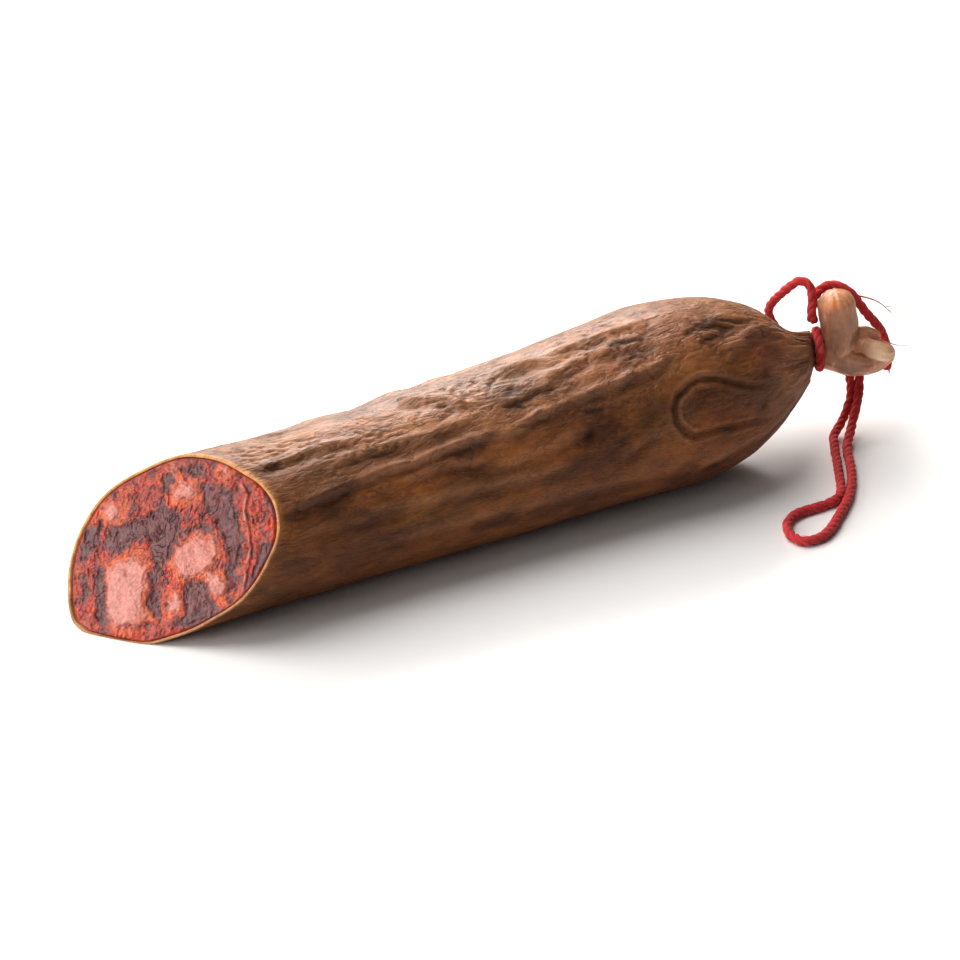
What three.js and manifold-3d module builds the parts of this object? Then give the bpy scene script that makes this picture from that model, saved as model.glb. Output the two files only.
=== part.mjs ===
// Cured sausage: the tied half of a thick dry-cured sausage in a natural gut, cut on the slant.
// Millimetres, +Z up. The sausage lies along X with its cut end at -X and its tied end at +X.
// The origin is on the surface it rests on, under the middle of the sausage and its tail.
import * as THREE from "three";
import { mergeVertices } from "three/addons/utils/BufferGeometryUtils.js";
import Module from "manifold-3d";

const wasm = await Module();
wasm.setup();

// Driving dimensions.
const CUT_X = -120.5; // where the slanted cut crosses the sausage's axis
const NECK_LENGTH = 241; // from there to the middle of the tied neck
const FATTEST = 172; // from the cut to the thickest place
const FLAT_DEPTH = 0.8; // how far the underside is pressed flat
const GUT_WALL = 0.8; // thickness of the dried gut
const CLEARANCE = 0.3; // between pieces that touch
const CUT_TURN = THREE.MathUtils.degToRad(38); // the cut faces this far towards -Y
const CUT_LEAN = THREE.MathUtils.degToRad(28); // and leans this far back
const FOLD_TURN = THREE.MathUtils.degToRad(-32.8); // the folded tail's upright plane, from X
const GROOVE_RADIUS = 4.3; // the neck under its string
const STRING_DIAMETER = 3.2;
const STRING_SIDES = 8;
const ROUND_SIDES = 32; // facets round the sausage
const BODY_ROWS = 22;
const TAIL_SIDES = 12;
const RING_FACETS = 24; // facets round the neck's ring of string
const CORD_STEP = 2 * STRING_DIAMETER; // length of one facet along loose string
const TIE_STEP = 2.5; // and along the string drawn over the tail
const BLOCK = 400; // side of the blocks that cut, larger than the sausage
const NECK_SIDE = -2.7; // how far the tied end bends towards -Y
const BEND_START = 170; // from the cut to where that bend begins
const CUT_OVAL = [0.93, 1.02]; // width and height of the section at the cut, over a round one
const OVAL_LENGTH = 120; // the section is round again this far from the cut

// Radius of the sausage at distances from the cut along the axis.
const BODY_STATIONS = [
  [-40, 25.3],
  [12, 25.4],
  [35, 24.7],
  [51, 25.0],
  [68, 25.1],
  [84, 25.9],
  [102, 26.2],
  [119, 26.9],
  [137, 28.0],
  [156, 29.0],
  [FATTEST, 29.8],
  [185, 29.0],
  [197, 27.2],
  [205, 24.6],
  [213, 21.0],
  [221, 16.2],
  [229, 10.8],
  [235, 7.9],
  [239, 7.0],
];
// The hollow of the gut and the meat in it end here.
const HOLLOW_END = 232;

// The tail is the empty gut beyond the tie: it runs out, turns back on itself and stands up.
// Each ball is [out, up, back, radius] from the middle of the neck, in the fold's own plane.
const TAIL_BALLS = [
  [-3.0, 0.2, 0, 6.9],
  [4.5, -0.8, 0, 6.3],
  [9, -2.4, 0, 6.1],
  [14.5, -3.3, 0, 5.7],
  [19.8, -2.2, 0, 5.4],
  [19.6, 1.0, -1.0, 5.3],
  [13.5, 2.6, -0.6, 5.0],
  [6.4, 7.0, 0, 6.2],
  [5.4, 12.0, 0, 6.5],
  [4.4, 16.4, 0, 6.4],
];

// The string round the neck: its middle in the fold's plane, and how its ring leans.
const NECK_TIE_MIDDLE = [-0.6, 0.3, 0];
const NECK_TIE_LEAN = THREE.MathUtils.degToRad(-6.5);

// The string over the tail, from the neck up behind the column and down behind the fold.
const TAIL_TIE_ROUTE = [
  [-2.2, 9.2, 1.2],
  [-3.2, 13.2, 3.0],
  [-2.2, 17.2, 5.0],
  [1.0, 20.0, 7.0],
  [6.0, 20.3, 7.3],
  [10.5, 17.5, 6.4],
  [14.5, 12.6, 5.2],
  [18.6, 8.0, 4.8],
  [21.6, 3.6, 7.0],
  [23.4, -1.0, 7.6],
  [24.2, -5.0, 6.2],
  [24.0, -9.6, 4.4],
];

// The loose end: from behind the neck, up past the shoulder and over to its cut end.
const TIE_END_ROUTE = [
  [-2.4, -3.0, 9.4],
  [-5.4, -3.4, 10.8],
  [-9.5, -1.6, 11.8],
  [-13.4, 2.4, 12.0],
  [-16.0, 7.0, 11.0],
  [-16.6, 11.8, 8.8],
  [-14.4, 16.6, 6.4],
  [-11.2, 21.0, 4.4],
  [-7.8, 23.8, 3.0],
  [-4.8, 22.8, 1.8],
  [-3.7, 18.4, 0.4],
  [-3.7, 14.4, -1.0],
  [-3.8, 11.2, -2.2],
];

// The hanging loop, from the middle of the neck: down from behind the tail, out along the
// surface, round its bight and back. FLOOR is the height at which the string lies.
const FLOOR = STRING_DIAMETER / 2 + 0.05;
const LOOP_ROUTE = [
  [13.0, 0.5, 22.6],
  [12.3, -1.6, 18.6],
  [11.2, -4.8, 13.4],
  [8.2, -7.0, 8.0],
  [3.6, -9.0, 3.6],
  [-1.4, -11.8, FLOOR + 0.4],
  [-6.2, -18.0, FLOOR],
  [-11.4, -25.2, FLOOR],
  [-20.1, -37.1, FLOOR],
  [-24.9, -43.2, FLOOR],
  [-30.0, -46.6, FLOOR],
  [-37.0, -47.2, FLOOR],
  [-44.0, -46.8, FLOOR],
  [-50.0, -48.2, FLOOR],
  [-54.6, -52.4, FLOOR],
  [-57.0, -57.6, FLOOR],
  [-56.0, -61.8, FLOOR],
  [-51.2, -63.0, FLOOR],
  [-44.2, -60.6, FLOOR],
  [-36.6, -55.6, FLOOR],
  [-27.0, -48.8, FLOOR],
  [-19.0, -41.4, FLOOR],
  [-10.6, -31.2, FLOOR],
  [-3.8, -21.4, FLOOR + 0.1],
  [0.4, -17.2, 2.4],
  [5.6, -12.8, 5.4],
  [10.2, -9.4, 10.2],
  [13.4, -6.2, 15.4],
  [15.6, -2.4, 20.0],
  [16.2, 0.6, 22.6],
];

const thickestRadius = Math.max(...BODY_STATIONS.map(([, radius]) => radius));
const axisHeight = thickestRadius - FLAT_DEPTH;
const neck = new THREE.Vector3(CUT_X + NECK_LENGTH, NECK_SIDE, axisHeight);

// A closed geometry as a solid that can be cut and joined.
function solidOf(geometry) {
  const bare = geometry.clone();
  bare.deleteAttribute("normal");
  bare.deleteAttribute("uv");
  const merged = mergeVertices(bare, 1e-4);
  const triVerts = new Uint32Array(merged.index.array);
  const vertProperties = merged.attributes.position.array;
  return new wasm.Manifold(new wasm.Mesh({ numProp: 3, vertProperties, triVerts }));
}

// A solid back as a geometry.
function geometryOf(solid) {
  const { vertProperties, triVerts } = solid.getMesh();
  const geometry = new THREE.BufferGeometry();
  geometry.setAttribute("position", new THREE.BufferAttribute(vertProperties, 3));
  geometry.setIndex(new THREE.BufferAttribute(triVerts, 1));
  const faceted = geometry.toNonIndexed();
  faceted.computeVertexNormals();
  return faceted;
}

// The sausage's outline from before the cut to its neck, as [distance, radius] rows.
function bodyRows() {
  const points = BODY_STATIONS.map(([distance, radius]) => new THREE.Vector2(distance, radius));
  return new THREE.SplineCurve(points).getPoints(BODY_ROWS).map((p) => [p.x, p.y]);
}

// Width and height of the section over a round one: oval at the cut, then round.
function ovalAt(distance) {
  const round = THREE.MathUtils.smoothstep(distance, 0, OVAL_LENGTH);
  return CUT_OVAL.map((share) => THREE.MathUtils.lerp(share, 1, round));
}

// The axis beside the X axis: straight, then bent to the neck.
function sideAt(distance) {
  return NECK_SIDE * THREE.MathUtils.smoothstep(distance, BEND_START, NECK_LENGTH);
}

// Height of the axis over the surface: the underside lies along it up to the thickest place.
function heightAt(distance, rows) {
  if (distance >= FATTEST) return axisHeight;
  const after = Math.max(rows.findIndex(([row]) => row >= distance), 1);
  const [d1, r1] = rows[after];
  const [d0, r0] = rows[after - 1];
  const radius = r0 + ((r1 - r0) * (distance - d0)) / (d1 - d0);
  return radius * ovalAt(distance)[1] - FLAT_DEPTH;
}

// A body of revolution, then made oval and laid along the sausage's bent axis.
function turned(rows, outline) {
  const [first] = outline[0];
  const [last] = outline[outline.length - 1];
  const profile = [[first, 0], ...outline, [last, 0]];
  const geometry = new THREE.LatheGeometry(
    profile.map(([distance, radius]) => new THREE.Vector2(radius, distance)),
    ROUND_SIDES,
  );
  geometry.rotateZ(-Math.PI / 2);
  const position = geometry.attributes.position;
  for (let i = 0; i < position.count; i += 1) {
    const distance = position.getX(i);
    const [wide, high] = ovalAt(distance);
    position.setXYZ(
      i,
      distance + CUT_X,
      position.getY(i) * wide + sideAt(distance),
      position.getZ(i) * high + heightAt(distance, rows),
    );
  }
  return solidOf(geometry);
}

// Everything on the far side of the slanted cut, as a block.
function cutBlock() {
  const block = new THREE.BoxGeometry(BLOCK, BLOCK, BLOCK);
  block.translate(-BLOCK / 2, 0, 0);
  block.rotateY(CUT_LEAN);
  block.rotateZ(CUT_TURN);
  block.translate(CUT_X, 0, BODY_STATIONS[1][1] * CUT_OVAL[1] - FLAT_DEPTH);
  return solidOf(block);
}

// Everything below a height, as a block.
function blockBelow(height) {
  const block = new THREE.BoxGeometry(BLOCK, BLOCK, BLOCK);
  block.translate(0, 0, height - BLOCK / 2);
  return solidOf(block);
}

// A point of the fold's plane, given as out, up and back from the middle of the neck.
function foldPoint([out, up, back]) {
  const local = new THREE.Vector3(out, back, up);
  return local.applyAxisAngle(new THREE.Vector3(0, 0, 1), FOLD_TURN).add(neck);
}

// A string tube through points, with flat ends.
function stringTube(points, step) {
  const curve = new THREE.CatmullRomCurve3(points, false, "centripetal");
  const section = new THREE.Shape();
  section.absarc(0, 0, STRING_DIAMETER / 2, 0, 2 * Math.PI, false);
  return new THREE.ExtrudeGeometry(section, {
    curveSegments: STRING_SIDES / 2,
    steps: Math.round(curve.getLength() / step),
    bevelEnabled: false,
    extrudePath: curve,
  });
}

// A ring made about the X axis, moved to where the string ties the neck.
function onNeck(ring) {
  ring.rotateY(NECK_TIE_LEAN);
  ring.rotateZ(FOLD_TURN);
  const middle = foldPoint(NECK_TIE_MIDDLE);
  return ring.translate(middle.x, middle.y, middle.z);
}

// The groove that the tight string presses into the neck and the foot of the tail.
function neckGroove() {
  const outer = GROOVE_RADIUS + STRING_DIAMETER + 2 * CLEARANCE;
  const half = STRING_DIAMETER / 2 + CLEARANCE;
  const profile = [
    new THREE.Vector2(GROOVE_RADIUS, -half),
    new THREE.Vector2(outer, -half),
    new THREE.Vector2(outer, half),
    new THREE.Vector2(GROOVE_RADIUS, half),
    new THREE.Vector2(GROOVE_RADIUS, -half),
  ];
  const ring = new THREE.LatheGeometry(profile, RING_FACETS);
  ring.rotateZ(-Math.PI / 2);
  return solidOf(onNeck(ring));
}

// The folded tail: balls joined by tapered lengths.
function tailSolid() {
  const balls = TAIL_BALLS.map((ball) => ({ at: foldPoint(ball), radius: ball[3] }));
  const pieces = balls.map(({ at, radius }) => {
    const ball = new THREE.SphereGeometry(radius, TAIL_SIDES, TAIL_SIDES / 2);
    ball.translate(at.x, at.y, at.z);
    return solidOf(ball);
  });
  for (let i = 1; i < balls.length; i += 1) {
    const from = balls[i - 1];
    const to = balls[i];
    const along = to.at.clone().sub(from.at);
    const length = new THREE.CylinderGeometry(to.radius, from.radius, along.length(), TAIL_SIDES);
    const turn = new THREE.Quaternion().setFromUnitVectors(
      new THREE.Vector3(0, 1, 0),
      along.clone().normalize(),
    );
    length.applyQuaternion(turn);
    const middle = from.at.clone().add(to.at).multiplyScalar(0.5);
    length.translate(middle.x, middle.y, middle.z);
    pieces.push(solidOf(length));
  }
  return pieces.reduce((whole, piece) => whole.add(piece));
}

function meatFilling(rows) {
  const inset = GUT_WALL + CLEARANCE;
  const outline = rows
    .filter(([distance]) => distance < HOLLOW_END)
    .map(([distance, radius]) => [distance, radius - inset]);
  return turned(rows, outline).subtract(cutBlock()).subtract(blockBelow(inset));
}

function casing(rows) {
  const outside = turned(rows, rows).subtract(blockBelow(0));
  const hollowOutline = rows
    .filter(([distance]) => distance < HOLLOW_END)
    .map(([distance, radius]) => [distance, radius - GUT_WALL]);
  const [lastDistance, lastRadius] = hollowOutline[hollowOutline.length - 1];
  hollowOutline.push([lastDistance + CLEARANCE, lastRadius]);
  const hollow = turned(rows, hollowOutline).subtract(blockBelow(GUT_WALL));
  const body = outside.subtract(hollow).subtract(cutBlock());
  return body.add(tailSolid()).subtract(neckGroove());
}

// The string pulled tight round the neck, sunk into its groove.
function neckTie() {
  const ring = new THREE.TorusGeometry(
    GROOVE_RADIUS + CLEARANCE + STRING_DIAMETER / 2,
    STRING_DIAMETER / 2,
    STRING_SIDES,
    RING_FACETS,
  );
  ring.rotateY(Math.PI / 2);
  return onNeck(ring);
}

function tailTie() {
  return stringTube(TAIL_TIE_ROUTE.map(foldPoint), TIE_STEP);
}

function tieEnd() {
  return stringTube(TIE_END_ROUTE.map(foldPoint), CORD_STEP);
}

function hangingLoop() {
  const points = LOOP_ROUTE.map(([x, y, z]) => new THREE.Vector3(neck.x + x, neck.y + y, z));
  return stringTube(points, CORD_STEP);
}

function named(name, geometry, material) {
  const mesh = new THREE.Mesh(geometry, new THREE.MeshStandardMaterial(material));
  mesh.name = name;
  return mesh;
}

const rows = bodyRows();
const meatLook = { color: 0xb0473a, roughness: 0.45, metalness: 0 };
const gutLook = { color: 0x7a4a30, roughness: 0.55, metalness: 0 };
const stringLook = { color: 0xa0232a, roughness: 0.85, metalness: 0 };

const sausage = new THREE.Group();
sausage.add(
  named("meat_filling", geometryOf(meatFilling(rows)), meatLook),
  named("casing", geometryOf(casing(rows)), gutLook),
  named("neck_tie", neckTie(), stringLook),
  named("tail_tie", tailTie(), stringLook),
  named("tie_end", tieEnd(), stringLook),
  named("hanging_loop", hangingLoop(), stringLook),
);

export default sausage;
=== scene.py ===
"""The cut half of a cured sausage with its tied tail, its red string, and a white studio round it.

Every piece is a surface computed on a grid or swept along a path. All sizes reach Blender in metres.
"""

import itertools
import math

import bpy
import numpy as np
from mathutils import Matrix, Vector


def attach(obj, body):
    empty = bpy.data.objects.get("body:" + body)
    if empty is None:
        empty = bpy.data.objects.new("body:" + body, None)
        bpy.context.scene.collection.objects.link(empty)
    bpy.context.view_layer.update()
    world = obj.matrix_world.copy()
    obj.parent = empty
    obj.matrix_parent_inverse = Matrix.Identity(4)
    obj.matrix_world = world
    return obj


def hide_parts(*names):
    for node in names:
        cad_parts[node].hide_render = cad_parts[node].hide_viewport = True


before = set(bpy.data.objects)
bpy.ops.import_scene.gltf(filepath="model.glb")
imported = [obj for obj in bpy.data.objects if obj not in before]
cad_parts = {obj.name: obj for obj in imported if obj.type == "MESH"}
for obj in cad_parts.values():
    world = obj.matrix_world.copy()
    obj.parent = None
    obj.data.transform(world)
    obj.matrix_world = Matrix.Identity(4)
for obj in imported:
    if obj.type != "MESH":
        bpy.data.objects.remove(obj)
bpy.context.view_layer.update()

bl_info = {
    "name": "Cured sausage",
    "version": (1, 0, 0),
    "blender": (4, 5, 0),
    "location": "3D View > Sidebar > Sausage",
    "description": "Builds a cut cured sausage tied with red string",
    "category": "Add Mesh",
}

MM = 0.001

# The sausage lies along X with its cut at low X. s is the distance from the cut, and the angle runs
# from the top of the section towards -Y.
CUT_X = -120.5 * MM
CUT_CENTRE = np.array([-120.5, 0.0, 25.1]) * MM
CUT_TURN = math.radians(38.0)
CUT_LEAN = math.radians(28.0)
CUT_OUT = -math.cos(CUT_LEAN)
CUT_NORMAL = np.array(
    [CUT_OUT * math.cos(CUT_TURN), CUT_OUT * math.sin(CUT_TURN), math.sin(CUT_LEAN)]
)
FACE_RIGHT = np.array([math.sin(CUT_TURN), -math.cos(CUT_TURN), 0.0])
FACE_UP = np.cross(FACE_RIGHT, -CUT_NORMAL)
NECK_LENGTH = 241 * MM
NECK_SIDE = -2.7 * MM
BEND_START = 170 * MM
FATTEST = 172 * MM
FATTEST_HEIGHT = 29.0 * MM
FLAT_DEPTH = 0.8 * MM
OVAL_LENGTH = 120 * MM
CUT_OVAL = (0.93, 1.02)
MEAT_END = 232 * MM
BODY_STATIONS = MM * np.array(
    [
        [-40, 25.3], [12, 25.4], [35, 24.7], [51, 25.0], [68, 25.1], [84, 25.9], [102, 26.2],
        [119, 26.9], [137, 28.0], [156, 29.0], [172, 29.8], [185, 29.0], [197, 27.2], [205, 24.6],
        [213, 21.0], [221, 16.2], [229, 10.8], [235, 7.9], [239, 7.0], [246, 6.6],
    ]
)
# How far the cut end stands out of its oval: degrees from the top, and a number that SWELL_UNIT
# turns into metres.
SWELL_UNIT = 0.8 * MM
RIM_SWELL = np.array(
    [
        [-180, 1.1], [-169, 1.4], [-158, 2.1], [-149, 2.3], [-140, 1.4], [-126, -0.2], [-105, -0.9],
        [-85, -0.4], [-64, 0.6], [-41, -0.2], [-22, 0.2], [-10, -0.5], [18, -1.3], [36, 0.1],
        [53, 1.2], [71, 1.5], [88, 0.8], [110, 1.0], [131, -0.2], [149, -0.2], [169, 0.9], [180, 1.1],
    ],
    float,
)
ANGLE_START = math.radians(122)
# The cut plane meets the body between these distances from the cut's middle.
RIM_RANGE = (-39 * MM, 45 * MM)
HALVINGS = 40
# Radius of the round that the skin's pattern is laid out on before the neck squeezes it.
LAID_RADIUS = 28 * MM

# Tail and ties are set out from the neck: out along the fold, up, and back.
NECK = np.array([120.5, -2.7, 29.0]) * MM
FOLD_TURN = math.radians(-32.8)
FOLD_OUT = np.array([math.cos(FOLD_TURN), math.sin(FOLD_TURN), 0.0])
FOLD_BACK = np.array([-math.sin(FOLD_TURN), math.cos(FOLD_TURN), 0.0])
FOLD_UP = np.array([0.0, 0.0, 1.0])


def fold_points(rows):
    """Turns rows of millimetres out, up and back of the neck into points of the row frame."""
    rows = MM * np.asarray(rows, float)
    return NECK + rows[:, :1] * FOLD_OUT + rows[:, 1:2] * FOLD_UP + rows[:, 2:3] * FOLD_BACK


# The tail's folds, each a run of out, up, back and radius: along the bottom, the nub that comes
# back over it, the knob behind, and the upright column.
TAIL_FOLDS = [
    [[-2.2, 0.3, 0, 4.0], [-0.2, 0.2, 0, 4.4], [1.6, -0.1, 0, 5.8], [4.5, -1.0, 0, 6.3],
     [9, -2.9, 0.2, 5.9], [14.2, -4.2, 0.6, 5.2], [19.2, -2.7, 0.4, 4.8], [21.6, -1.0, 0, 4.2]],
    [[22.2, 0.2, -3.2, 2.7], [20.6, 0.9, -4.4, 2.9], [17.6, 2.2, -4.6, 3.0], [14.6, 3.3, -3.4, 2.6],
     [11.5, 3.4, -1.4, 2.6]],
    [[17.6, 4.3, 0.4, 3.0], [15.0, 4.9, 0.4, 3.4], [11.5, 4.2, 0.2, 3.8], [8, 2.6, 0, 4.4]],
    [[4.4, -1.0, 0.2, 6.0], [5.6, 3.4, -0.4, 6.1], [6.1, 7.6, -0.4, 6.2], [5.4, 12, -0.2, 6.45],
     [4.5, 16.4, 0, 6.4]],
]
STRING_WIDE = 3.2 * MM
PLY_REACH = 0.36
PLY_THICK = 0.64
NECK_TIE_MIDDLE = [-0.6, 0.3, 0]
NECK_TIE_LEAN = math.radians(-6.5)
NECK_TIE_RADIUS = 6.2 * MM
NECK_INNER = 4.7 * MM
# The groove under the tie: its flat half, the length over which it opens, and how far it opens.
# Beyond that the gut is free, which is any reach longer than the object.
GROOVE_FLAT = 1.0 * MM
GROOVE_LENGTH = 4.5 * MM
GROOVE_RISE = 9 * MM
FREE = 1.0
MEAT_NECK_INSET = 1.5 * MM
GUT_NECK_INSET = 1.2 * MM
STRING_STEP = 0.4 * MM
THREAD_STEP = 0.5 * MM
# Fineness of the mesh that joins the tail's folds.
TAIL_MESH = 0.34 * MM
TAIL_TIE_ROUTE = [
    [-2.2, 9.2, 1.2], [-3.2, 13.2, 3], [-2.2, 17.2, 5], [1, 20, 7], [6, 20.3, 7.3],
    [10.5, 17.5, 6.4], [14.5, 12.6, 5.2], [18.6, 8, 4.8], [21.6, 3.6, 7], [23.4, -1, 7.6],
    [24.2, -5, 6.2], [24, -9.6, 4.4],
]
TIE_END_ROUTE = [
    [-2.4, -3, 9.4], [-5.4, -3.4, 10.8], [-9.5, -1.6, 11.8], [-13.4, 2.4, 12], [-16, 7, 11],
    [-16.6, 11.8, 8.8], [-14.4, 16.6, 6.4], [-11.2, 21, 4.4], [-7.8, 23.8, 3], [-4.8, 22.8, 1.8],
    [-3.7, 18.4, 0.4], [-3.7, 14.4, -1], [-3.8, 11.2, -2.2],
]
LIE = 1.65
LOOP_ROUTE = [
    [13, 0.5, 22.6], [12.3, -1.6, 18.6], [11.2, -4.8, 13.4], [8.2, -7, 8], [3.6, -9, 3.6],
    [-1.4, -11.8, LIE + 0.4], [-6.2, -18, LIE], [-11.4, -25.2, LIE], [-20.1, -37.1, LIE],
    [-24.9, -43.2, LIE], [-30, -46.6, LIE], [-37, -47.2, LIE], [-44, -46.8, LIE],
    [-50, -48.2, LIE], [-54.6, -52.4, LIE], [-57, -57.6, LIE], [-56, -61.8, LIE],
    [-51.2, -63, LIE], [-44.2, -60.6, LIE], [-36.6, -55.6, LIE], [-27, -48.8, LIE],
    [-19, -41.4, LIE], [-10.6, -31.2, LIE], [-3.8, -21.4, LIE + 0.1], [0.4, -17.2, 2.4],
    [5.6, -12.8, 5.4], [10.2, -9.4, 10.2], [13.4, -6.2, 15.4], [15.6, -2.4, 20], [16.2, 0.6, 22.6],
]


def loop_points():
    """The hanging loop's route: millimetres along X and Y from the neck, and above the floor."""
    loop = MM * np.asarray(LOOP_ROUTE, float)
    loop[:, :2] += NECK[:2]
    return loop


# Patches of the cut face, in millimetres right and up of its middle.
FAT_PATCHES = [
    [(-11, -4.5), (-7, -6), (-6, -10.5), (-7, -15.5), (-3.5, -19.5), (-6, -23.5), (-11.5, -24.5),
     (-16.5, -22), (-18, -15), (-18, -9.5), (-15.5, -7.5)],
    [(8.5, 5.5), (12.5, 4), (14.5, 0.5), (13, -3), (10, -6), (5, -7), (2, -4.5), (2.5, 0.5), (5, 3.5)],
    [(12.5, -6), (15.5, -4), (19, -6.5), (19, -9.5), (16.5, -10.5), (13.5, -9)],
    [(-2, 17), (0.5, 19.5), (4, 19.5), (5, 17.5), (3, 15), (-0.5, 15)],
    [(-23, 7), (-21, 10), (-17, 9.5), (-17, 7), (-20.5, 5)],
    [(-3.4, 22), (-2.5, 23), (-1.6, 22), (-2.5, 21)],
    [(2, -16), (4, -13.5), (7, -14.5), (5.5, -17), (3, -17.5)],
    [(12.6, 26), (14.2, 26), (14.6, 24), (13.2, 23.6)],
]
LEAN_PATCHES = [
    [(-19.5, -4), (-21, -1), (-19.5, 2.5), (-14, 5.5), (-9, 8.5), (-5.5, 11.5), (-0.5, 12), (2.5, 9),
     (2.5, 5.5), (2, 1.5), (0, -1.5), (0, -5.5), (-4, -5.5), (-7, -2), (-7.5, 2), (-11, 2),
     (-15, -2.5), (-17, -5.5)],
    [(-5, -6), (-1.5, -6), (-2, -10.5), (-0.5, -16), (1, -20.5), (-2.5, -20.5), (-4.5, -17),
     (-4.5, -12)],
    [(-22, -9), (-19, -9), (-18.5, -15), (-17, -22), (-16.5, -25.5), (-20, -24), (-20.5, -18)],
    [(-27, 1.5), (-24.5, 3), (-22.5, 4.5), (-23, -1), (-25, -5), (-27, -10), (-28, -7)],
    [(-26.5, -14.5), (-24, -14), (-23.5, -20), (-25.5, -21)],
    [(-6, 19), (-5, 22.5), (-2, 22.5), (-3, 19), (-4, 16), (-5.5, 16)],
    [(0.5, 24), (4.5, 26.5), (6.5, 24), (6, 21.5), (2.5, 21.5), (0, 22.5)],
    [(6.5, 20.5), (11.5, 19.5), (16, 19.5), (18, 15.5), (21, 10), (22.5, 5), (22.5, -1), (22, -8.5),
     (19.5, -12), (18, -7), (19.5, -1.5), (17, 5), (14, 8), (10, 12), (8, 16.5)],
    [(3, 5.5), (6.5, 7), (10, 8), (11.5, 6.5), (6.5, 6), (3.5, 2.5)],
    [(7, -9), (10.5, -7.5), (14.5, -11), (17, -13), (18, -16), (13.5, -19), (8.5, -22), (4, -23),
     (7.5, -17.5), (7, -13)],
    [(27.5, 6.5), (31, 7.5), (31.5, 6), (29, 1), (27, -4), (26, -8.5), (25.5, -6), (26.5, 0),
     (26.5, 4.5)],
    [(26, 22.5), (28.5, 20.5), (31, 16.5), (31.5, 13), (28.5, 17), (26.5, 19.5)],
]
SINEW_LINE = [
    (18, 23.5), (21, 19.5), (21, 14), (23, 9.5), (24.5, 5), (24.5, -1), (24.5, -5.5), (24.5, -10),
]

# Lines on the skin: millimetres from the cut, and degrees from the top.
SKIN_RIDGES = [
    ([(24, 55), (30, 54), (40, 53), (48, 50), (60, 48), (72, 48), (84, 46), (96, 46), (108, 48),
      (116, 43), (127, 43), (138, 42), (146, 42), (154, 41), (163, 39), (172, 39)], 0.75, 1.5),
    ([(184, 43), (192, 40), (200, 33), (206, 30), (216, 29)], 0.55, 2.0),
    ([(140, 88), (147, 82), (156, 77)], 0.45, 1.4),
    ([(66, 58), (73, 57), (79, 56), (88, 59), (96, 60)], 0.45, 1.4),
    ([(78, -7), (86, 3), (92, 8), (96, 22)], 0.9, 2.0),
    ([(110, -4), (128, 4), (150, 2), (168, 8)], 0.7, 2.2),
    ([(20, 20), (44, 16), (60, 19)], 0.5, 1.6),
    ([(40, 34), (60, 30), (80, 34), (100, 30)], 0.45, 1.7),
    ([(120, 22), (140, 15), (165, 20)], 0.55, 1.9),
    ([(96, 67), (116, 67), (134, 61)], 0.35, 1.5),
    ([(28, 72), (60, 73), (92, 78), (124, 82)], 0.28, 1.8),
    ([(50, 96), (100, 101), (150, 106), (190, 108)], 0.24, 2.2),
    ([(168, 112), (186, 106), (206, 104), (220, 100)], 0.3, 1.8),
    ([(10, -34), (50, -28), (90, -36), (130, -30)], 0.6, 2.0),
    ([(30, -62), (80, -68), (130, -58), (176, -66)], 0.5, 2.0),
    ([(60, -92), (110, -86), (170, -96)], 0.45, 2.2),
    ([(20, 150), (80, 146), (150, 152)], 0.25, 2.0),
]
STRING_MARK = [
    (204, 73), (198, 73), (191, 70), (183, 64), (178, 60), (172, 58), (168, 60), (163, 64),
    (161, 70), (161, 78), (164, 86), (167, 90), (172, 90), (178, 90), (184, 92), (192, 94),
    (198, 98), (206, 102),
]
SKIN_PITS = [
    (131, 68, 2.4, 0.9), (142, 79, 1.3, 0.4), (196, 86, 1.6, 0.6), (198, 64, 2.2, 0.5),
    (154, 67, 3.6, 0.4), (112, 22, 3.0, 0.4),
]
# Dark stains: place, angle, width and strength.
SKIN_SMUDGES = [
    (112, 22, 9, 0.8), (134, 68, 13, 0.85), (158, 64, 11, 0.7), (150, 96, 10, 0.5), (180, 76, 9, 0.6),
    (206, 48, 10, 0.5), (34, 92, 12, 0.6), (60, 108, 16, 0.5), (24, 120, 10, 0.7), (186, 34, 9, 0.3),
    (90, 84, 12, 0.35), (205, 96, 12, 0.4), (80, 66, 7, 0.4), (120, 106, 12, 0.45), (36, 34, 8, 0.4),
    (70, -60, 16, 0.5), (130, -84, 18, 0.5), (180, -60, 14, 0.5), (40, -96, 14, 0.5),
]
SKIN_CRACKS = [
    ([(106, 30), (110, 33), (114, 38)], 0.5), ([(108, 32), (114, 32), (120, 30), (126, 30)], 0.45),
    ([(130, 53), (138, 56)], 0.4), ([(148, 16), (155, 18), (162, 22)], 0.5),
    ([(172, 31), (180, 24), (189, 27), (197, 33)], 0.28), ([(176, 37), (186, 34), (196, 26)], 0.25),
    ([(182, 20), (192, 22), (202, 25)], 0.25),
]

# Low swells of the skin: place, angle, width along, width round in degrees, and millimetres.
SKIN_SWELLS = [(181, 122, 26, 42.0, 2.4), (130, 122, 36, 36.0, 1.3)]
# Where the meat shows red through the gut: place, angle, width along, width round, and strength.
RUDDY_PATCHES = [
    (143, 30, 9, 14.0, 0.6), (198, 40, 9, 10.0, 0.5), (177, 84, 7, 6.0, 0.5),
    (206, 46, 11, 18.0, 0.6), (176, 22, 14, 16.0, 0.4),
]
# Across the rounded lip at the cut, from the outer wall (1) to the inner wall (-1).
LIP_STEPS = (0.9, 0.55, 0.15, -0.3, -0.7, -0.95)
LIP_HEIGHT = 0.22 * MM
# Relief and tucks grow in over this length behind the cut, so that the rim keeps its outline.
RIM_HOLD = 7 * MM
# And over this height above the floor, so that the underside stays flat.
FLOOR_HOLD = 3.5 * MM
MEAT_TUCK = 2.1 * MM
GUT_TUCK = 1.9 * MM

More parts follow.
